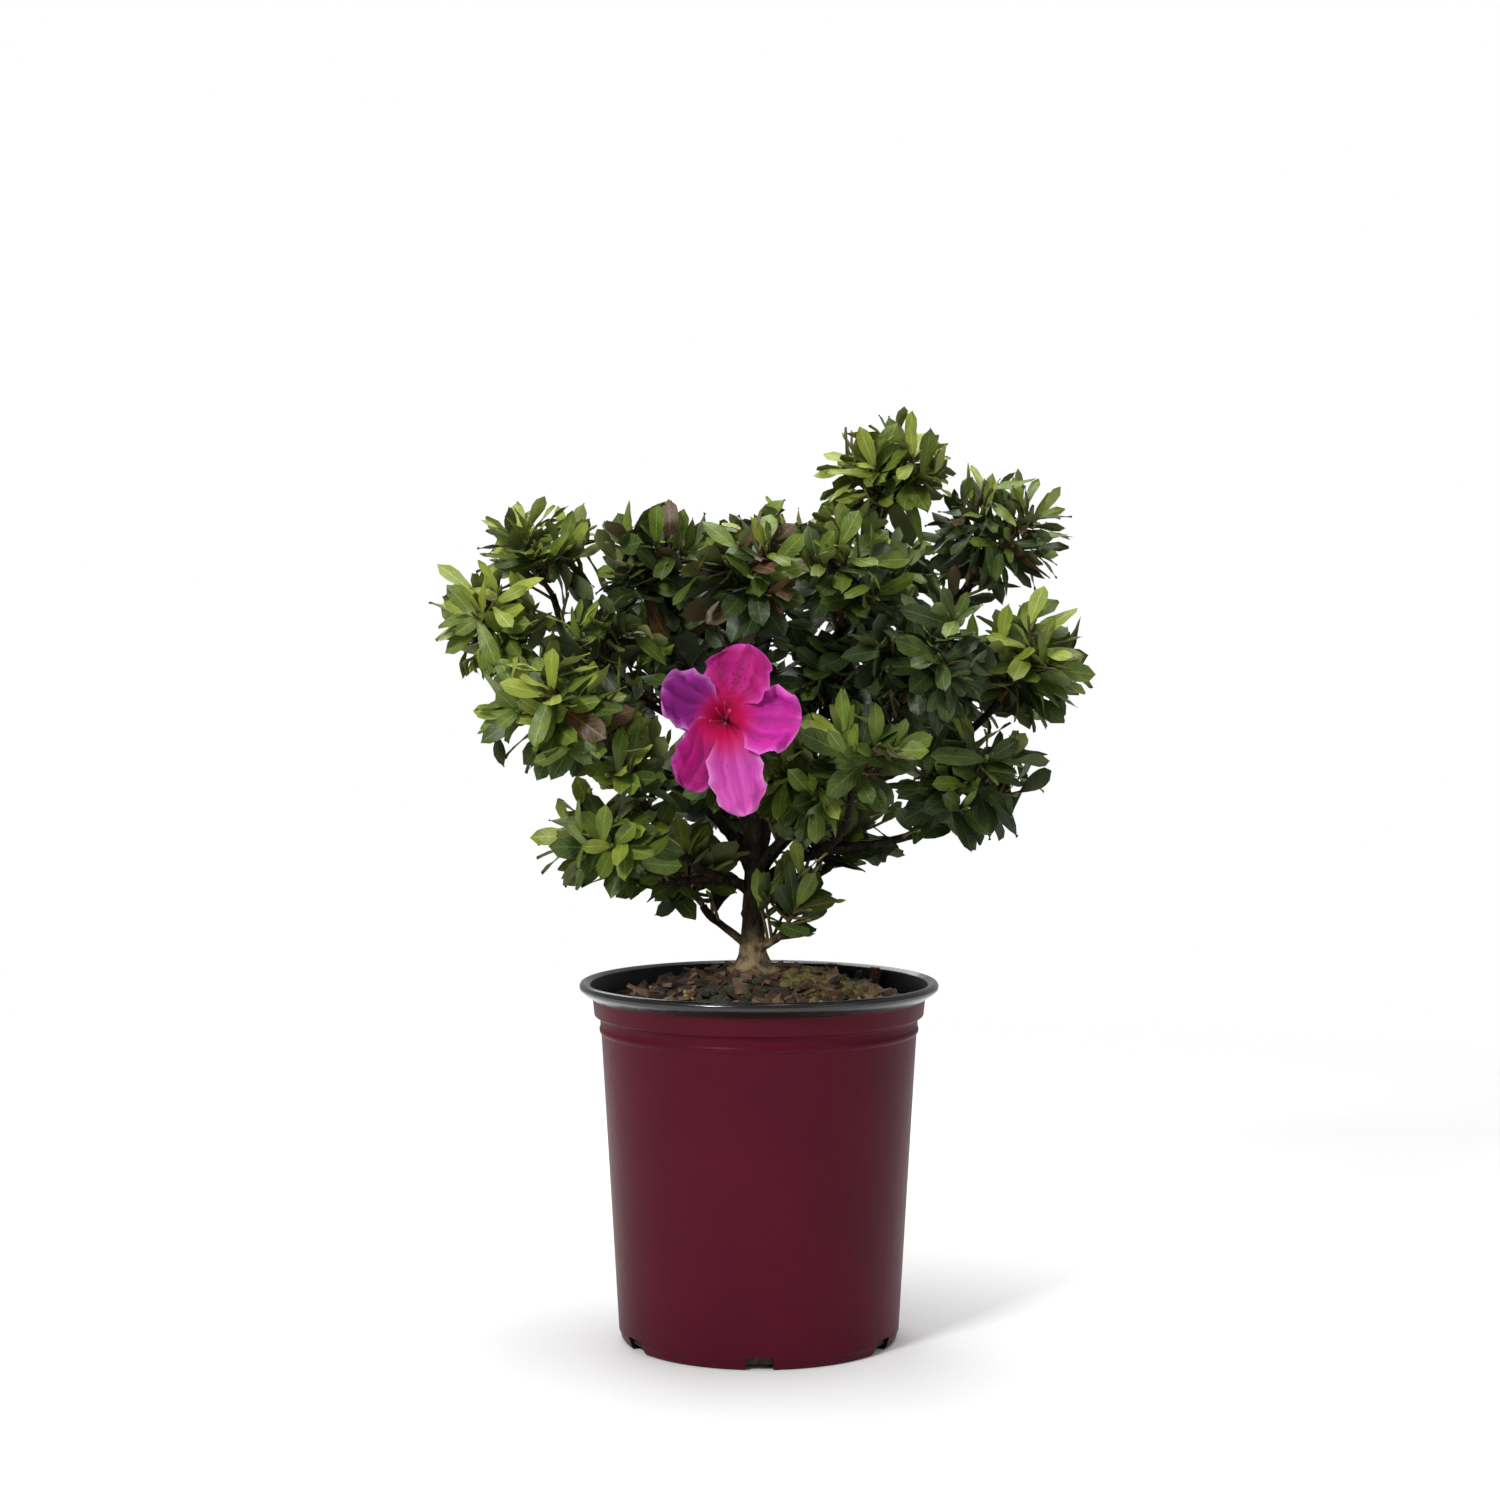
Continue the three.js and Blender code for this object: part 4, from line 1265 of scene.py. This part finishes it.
def makeLimbs():
    mesh = barsMesh("limbs", [limbLine(name, limb) for name, limb in limbs.items()], 4)
    bm = bmesh.new()
    bm.from_mesh(mesh)
    bpy.data.meshes.remove(mesh)
    bm.normal_update()
    for v in bm.verts:
        shapeBark(v)
    wood = mottledMaterial(
        "bark", bark["light"], bark["dark"], 2.4, 0.88, bump=0.9, sharpness=3.2, stretch=bark["stretch"],
        shine=0.15,
    )
    paintFootDustAndLight(wood.node_tree)
    nodes = ["trunk"] + ["bough_" + spray["name"] for spray in sprays]
    finishPiece("limbs", meshOf(bm, "limbs"), [wood], nodes)


def makeTwigs():
    woody, green = [], []
    for spray in sprays:
        for one in spray["grown"]:
            steps = 6 if one["leaves"] == whorl["leaves"] else 4
            radii = [between(one["from"], fine["shootRadius"], i / steps) for i in range(steps + 1)]
            (woody if steps == 6 else green).append((pointsAlong(one["line"], steps), radii))
    oldWood = mottledMaterial("twigBark", bark["twigLight"], bark["twigDark"], 3, 0.8, bump=0.5)
    newWood = mottledMaterial("shootBark", bark["shootLight"], bark["shootDark"], 4, 0.7, bump=0.3)
    finishPiece("twigs", barsMesh("twigs", woody, 2), [oldWood])
    finishPiece("shoots", barsMesh("shoots", green, 1), [newWood])


# A pointed bud stands in the middle of each whorl
bud = {
    "length": 7,
    "width": 2.3,
    "sizes": (0.7, 1.15),
    "profile": [(0, 0), (0.5, 0.12), (0.62, 0.4), (0.36, 0.75), (0, 1)],
    "light": colour(104, 116, 48),
    "dark": colour(74, 76, 34),
}


def makeBuds():
    bm = bmesh.new()
    spun(bm, bud["profile"], 6)
    one = meshOf(bm, "bud")
    bm = bmesh.new()
    draw = seeded(331)
    for spray in sprays:
        for grown in spray["grown"]:
            tip, along = grown["line"][-1], directionOn(grown["line"], 1)
            size = between(*bud["sizes"], draw())
            side = acrossFrom(along)
            over = along.cross(side) * bud["width"] * size
            axes = side * bud["width"] * size, over, along * bud["length"] * size
            addCopy(bm, one, axesAt(tip - along, *axes))
    scales = mottledMaterial("budScales", bud["light"], bud["dark"], 2, 0.5, bump=0.3)
    finishPiece("buds", meshOf(bm, "buds"), [scales])


# Leaf colours from the oldest and most shaded to the youngest and most lit, partly painted light: upper side
# light and dark, midrib, underside
tints = {
    "deep": (colour(52, 67, 31), colour(28, 41, 18), colour(70, 83, 40), colour(66, 76, 44)),
    "full": (colour(72, 91, 34), colour(42, 57, 21), colour(90, 104, 46), colour(82, 92, 50)),
    "fresh": (colour(106, 124, 42), colour(70, 88, 28), colour(124, 134, 62), colour(104, 114, 58)),
    "youngAndLit": (colour(142, 154, 54), colour(102, 118, 38), colour(160, 164, 82), colour(130, 138, 68)),
    "bronze": (colour(88, 66, 36), colour(52, 37, 21), colour(104, 84, 44), colour(88, 76, 44)),
}
tintOrder = ("deep", "full", "fresh", "youngAndLit")
# What makes a leaf's tint younger and lighter: its spray, its place in the whorl, how high its shoot stands,
# and chance.
# Partly leaf age and partly painted light: higher shoots and upper leaves lighter, lower ones darker as
# painted shade
ageAndLight = {"youth": 0.85, "level": 0.52, "middle": 0.44, "rise": 0.32, "chance": 0.24}
bronzeShare = {"centre_top": 0.22, "centre_left_top": 0.1, "left_inner": 0.05, "right_top": 0.06}
slimLeaves = {"right_top": 0.6, "left_top": 0.74, "spire": 0.86, "left_tip": 0.84}  # share of their width


def leafTint(spray, made, draw):
    if draw() < bronzeShare.get(spray["name"], 0.008):
        return "bronze"
    tip = spray["grown"][made["shoot"]]["line"][-1]
    rise = (tip.z - spray["middle"].z) / spray["reach"][2]
    youngAndLit = spray["youth"] * ageAndLight["youth"] + ageAndLight["level"] * (made["level"] - ageAndLight["middle"])
    # painted light: leaves on higher shoots lighter, on lower shoots darker as painted shade
    youngAndLit += ageAndLight["rise"] * rise
    youngAndLit += ageAndLight["chance"] * (draw() - 0.5)
    return tintOrder[min(max(int(youngAndLit * 4), 0), 3)]


def leafMaterials(tint):
    light, dark, rib, under = tints[tint]
    underDark = tuple(c * 0.7 for c in under[:3]) + (1,)
    return [
        veinedMaterial(tint + "Leaf", light, dark, rib, 9, 0.44, 8, 0.7, 0.045, bump=0.25, shine=0.28),
        mottledMaterial(tint + "Under", under, underDark, 6, 0.7),
        mottledMaterial(tint + "Rib", rib, light, 5, 0.5),
    ]


def makeLeaves():
    draw = seeded(4021)
    pieces = {tint: bmesh.new() for tint in tints}
    for layer in ("leafList", "innerLeaves"):
        for spray in sprays:
            for made in spray[layer]:
                bm = pieces[leafTint(spray, made, draw)]
                kind = leafKinds[int(draw() * leaf["kinds"])]
                across = made["across"] * slimLeaves.get(spray["name"], 1)
                addCopy(bm, kind, axesAt(made["root"], across, made["along"], made["face"], made["length"]))
    share = {tint: [] for tint in tints}
    for i, spray in enumerate(sprays):
        share[tintOrder[i % 4]].append("spray_" + spray["name"])
    for tint, bm in pieces.items():
        name = tint + "Leaves"
        finishPiece(name, meshOf(bm, name), leafMaterials(tint), share[tint])


# A petal read from its own map: streaks along it, a deep heart, freckles beside the middle and a pale rim,
# with a dark band along its middle that is partly its own streak and partly painted shade in its crease
petal = {
    "streaks": (8, 1.3, 1),
    "streakBand": (0.34, 0.66),
    "rimAside": (0.36, 0.52),
    "rimTip": (0.72, 1.05),
    # the dark band along the middle: partly the petal's streak, partly painted crease shade
    "rib": (0.07, 0, 0, 0.55),
    "heart": (0.44, 0.18),
    "freckles": 26,
    "freckleSize": (0.34, 0.22),
    "freckleAside": (0.3, 0.12),
    "freckleUp": (0.72, 0.5),
}


def makePetalPattern():
    inputs = [
        ("Map", "Vector", None),
        ("Light", "Color", (0.8, 0.2, 0.6, 1)),
        ("Dark", "Color", (0.4, 0.1, 0.3, 1)),
        ("Heart", "Color", (0.3, 0, 0.1, 1)),
        ("Rim", "Color", (0.9, 0.6, 0.8, 1)),
        ("Freckles", "Float", 0),
    ]
    tree, given, end = newGroup("petalPattern", inputs, [("Color", "Color"), ("Height", "Float")])
    place = addNode(tree, "SeparateXYZ", {0: given["Map"]}).outputs
    aside = mathOf(tree, "ABSOLUTE", mathOf(tree, "SUBTRACT", place["X"], 0.5))
    stretched = addNode(tree, "Mapping", {"Vector": given["Map"], "Scale": petal["streaks"]}).outputs[0]
    cloud = addNode(tree, "TexNoise", {"Vector": stretched, "Scale": 1, "Detail": 5})
    streak = mapped(tree, cloud.outputs["Fac"], *petal["streakBand"], kind="LINEAR")
    edge, tip = mapped(tree, aside, *petal["rimAside"]), mapped(tree, place["Y"], *petal["rimTip"])
    dots = addNode(tree, "TexVoronoi", {"Vector": given["Map"], "Scale": petal["freckles"]})
    freckles = mapped(tree, dots.outputs["Distance"], *petal["freckleSize"], kind="LINEAR")
    for value, band in ((aside, "freckleAside"), (place["Y"], "freckleUp")):
        freckles = mathOf(tree, "MULTIPLY", freckles, mapped(tree, value, *petal[band], kind="LINEAR"))
    painted = mixed(tree, streak, given["Dark"], given["Light"])
    for mask, paint in (
        (mathOf(tree, "MAXIMUM", edge, tip), given["Rim"]),
        # the dark band along the middle: partly the petal's streak, partly painted crease shade
        (mapped(tree, aside, *petal["rib"]), given["Dark"]),
        (mapped(tree, place["Y"], *petal["heart"]), given["Heart"]),
        (mathOf(tree, "MULTIPLY", freckles, given["Freckles"]), flower["freckle"]),
    ):
        painted = mixed(tree, mask, painted, paint)
    fillSockets(tree, end, {"Color": painted, "Height": streak})
    return tree


petalPattern = makePetalPattern()


def petalMaterial(lobe, number):
    finish = {"Roughness": 0.6, "Specular IOR Level": 0.14, "Sheen Weight": 0.05}
    material, place = newMaterial("petal" + str(number), finish)
    sockets = {label: lobe[label.lower()] for label in ("Light", "Dark", "Rim", "Freckles")}
    sockets.update({"Map": place["UV"], "Heart": flower["heart"]})
    pattern = addNode(material.node_tree, "Group", sockets, node_tree=petalPattern)
    wearPattern(material.node_tree, pattern.outputs, 0.3, 0.0006)
    return material


# Where a point of a lobe lies: side runs from -1 to 1 across it, part from the throat to its tip
def lobePoint(lobe, side, part, phase):
    start, parting = flower["throatRadius"], flower["funnel"]
    radius = start + (lobe["reach"] - start) * math.sin(part * math.pi / 2) ** 1.5
    beyond = min(max((radius - parting) / (lobe["reach"] - parting), 0), 1)
    fused = math.pi / 5 * min(radius, parting)
    wide = math.sin(min(beyond / 0.4, 1) * math.pi / 2)
    blunt = (1 - max((beyond - 0.45) / 0.55, 0) ** 2.6) ** 0.5
    wavy = 1 + 0.15 * beyond * math.sin(2 * math.pi * (3.6 * beyond + 0.3 * side + 3 * phase))
    half = between(fused, lobe["half"], wide) * blunt * wavy
    notches = math.sin(2 * math.pi * (1.3 * side + phase))
    radius += flower["scallop"] * beyond ** 2 * (1 - beyond ** 8) * notches
    turn = side * half / radius + lobe["aside"] * (1 - wide)
    wave = math.sin(2 * math.pi * (2.1 * beyond + 0.3 * side + phase))
    small = math.sin(2 * math.pi * (4.7 * beyond - 0.7 * side + 2 * phase))
    height = petalHeight(radius) + lobe["forward"] * beyond ** 1.5
    height += flower["ruffle"] * beyond * abs(side) ** 1.3 * (wave + 0.45 * small)
    height -= flower["crease"] * (1 - abs(side)) * math.sin(math.pi * beyond ** 0.7)
    height += flower["overlap"] * side * min(beyond * 4, 1) + lobe["twist"] * side * half * beyond
    return (radius * math.sin(turn), radius * math.cos(turn), height)


def addLobe(bm, number, draw):
    lobe = lobes[number]
    sheet = bmesh.new()
    sheet.loops.layers.uv.new("UVMap")
    columns, rows = flower["columns"], flower["rows"]
    bmesh.ops.create_grid(sheet, x_segments=columns, y_segments=rows, size=1, calc_uvs=True)
    phase = draw()
    for v in sheet.verts:
        v.co = lobePoint(lobe, v.co.x, (v.co.y + 1) / 2, phase)
    for face in sheet.faces:
        face.material_index = number
    closeShell(sheet, flower["thickness"], len(lobes))
    axis, right, over = flowerAxes()
    turn = math.radians(lobe["turn"])
    outward = right * math.cos(turn) + over * math.sin(turn)
    matrix = axesAt(flower["throat"], outward.cross(axis), outward, axis)
    bmesh.ops.transform(sheet, verts=sheet.verts[:], matrix=matrix)
    mesh = meshOf(sheet, "lobe")
    bm.from_mesh(mesh)
    bpy.data.meshes.remove(mesh)


def makeFlower():
    draw = seeded(67)
    bm = bmesh.new()
    for number in range(len(lobes)):
        addLobe(bm, number, draw)
    materials = [petalMaterial(lobe, number) for number, lobe in enumerate(lobes)]
    back = mottledMaterial("petalBack", lobes[2]["light"], lobes[0]["light"], 20, 0.6, bump=0.1)
    finishPiece("bloom", meshOf(bm, "bloom"), materials + [back], ["spray_blossom"])


# What stands in the flower's middle, and the stalk that carries it
centre = {
    "spread": (3.5, 8),
    "heights": (34, 42),
    "rise": 1.4,
    "threadRadius": 0.42,
    "antherRadii": [0.5, 1, 0.5],
    "stalkRadii": [1.3, 1.2, 1.2, 1.3, 1.6, 2.4, 3.1],
    "calyx": colour(120, 134, 60),
    "calyxDark": colour(84, 90, 44),
}


def makeFlowerParts():
    draw = seeded(29)
    threads, tips = [], []
    throat, looks = flower["throat"], flower["looks"]
    for i in range(flower["stamens"]):
        turn = i * 2 * math.pi / flower["stamens"]
        spread = between(*centre["spread"], draw())
        end = inFlower(turn, spread, between(*centre["heights"], draw()))
        points = pointsAlong([inFlower(turn, 0.8, 2), inFlower(turn, 1.6, 18), end], 8)
        points = [point + up * centre["rise"] * (part / 8) ** 2 for part, point in enumerate(points)]
        threads.append((points, [centre["threadRadius"]] * 9))
        tips.append(([points[-1] + looks * s for s in (-1, 0, 1.4)], centre["antherRadii"]))
    pistil = [inFlower(0, 0, 2), inFlower(0, 1, 24), inFlower(0.4, 5, 46)]
    threads.append((pointsAlong(pistil, 8), [0.6] * 8 + [1.1]))
    threads.append(([inFlower(0, 0, height) for height in (-0.6, 1, 2.4, 4)], [2.2, 2.4, 2, 0.8]))
    start, tip, _ = growTwigs(next(spray for spray in sprays if spray["name"] == "blossom"))[0]
    stalk = [start.lerp(tip, 0.7), throat - looks * 6, throat - looks * 0.4]
    green = [(pointsAlong(stalk, 6), centre["stalkRadii"])]
    thread = mottledMaterial("stamen", flower["stamen"], flower["heart"], 5, 0.5)
    anther = mottledMaterial("anther", flower["anther"], flower["heart"], 2, 0.7)
    calyx = mottledMaterial("calyx", centre["calyx"], centre["calyxDark"], 3, 0.6)
    finishPiece("stamens", barsMesh("stamens", threads, 1), [thread])
    finishPiece("anthers", barsMesh("anthers", tips, 1), [anther])
    finishPiece("flowerStalk", barsMesh("flowerStalk", green, 2), [calyx])


makeLimbs()
makeTwigs()
makeBuds()
makeLeaves()
makeFlower()
makeFlowerParts()
print("plant dressed")

# The studio: a round pale floor that fades into a white sky, and four soft lights
studio = {
    "floorRadius": 1500,
    "floorFades": (750, 1450),
    "ground": colour(246, 246, 246),
    "groundDark": colour(240, 240, 240),
    "skySeen": 1,
    "skyLight": 0.4,
    "target": Vector((0, 0, 300)),
    "lights": [
        ("key", (-1000, -1500, 1500), 400, 31),
        ("fill", (1500, -1300, 900), 1200, 2.6),
        ("top", (100, 200, 1900), 1300, 28),
        ("rear", (-500, 1700, 1500), 1200, 10),
    ],
}


def makeFloor():
    bm = bmesh.new()
    bmesh.ops.create_circle(bm, cap_ends=True, radius=studio["floorRadius"] * millimetre, segments=128)
    paper = mottledMaterial("paper", studio["ground"], studio["groundDark"], 400, 0.9, bump=0)
    tree = paper.node_tree
    place = tree.nodes["Texture Coordinate"].outputs["Object"]
    away = addNode(tree, "VectorMath", {0: place}, operation="LENGTH").outputs["Value"]
    near, far = (radius * millimetre for radius in studio["floorFades"])
    fillSockets(tree, tree.nodes["Principled BSDF"], {"Alpha": mapped(tree, away, near, far, 1, 0)})
    mesh = meshOf(bm, "ground")
    mesh.materials.append(paper)
    ground = addObject("ground", mesh)


# The sky looks white, and lights the plant more softly than it looks
def makeSky():
    world = bpy.data.worlds.new("sky")
    world.use_nodes = True
    tree = world.node_tree
    lighting = tree.nodes["Background"]
    fillSockets(tree, lighting, {"Color": (1, 1, 1, 1), "Strength": studio["skyLight"]})
    seen = addNode(tree, "Background", {"Color": (1, 1, 1, 1), "Strength": studio["skySeen"]})
    isSeen = addNode(tree, "LightPath").outputs["Is Camera Ray"]
    blend = addNode(tree, "MixShader", {0: isSeen, 1: lighting.outputs[0], 2: seen.outputs[0]})
    fillSockets(tree, tree.nodes["World Output"], {"Surface": blend.outputs[0]})
    bpy.context.scene.world = world


def lightStudio():
    for name, place, size, power in studio["lights"]:
        data = bpy.data.lights.new(name, "AREA")
        data.size = size * millimetre
        data.energy = power
        lookAt(addObject(name, data), Vector(place), studio["target"])


makeFloor()
makeSky()
lightStudio()
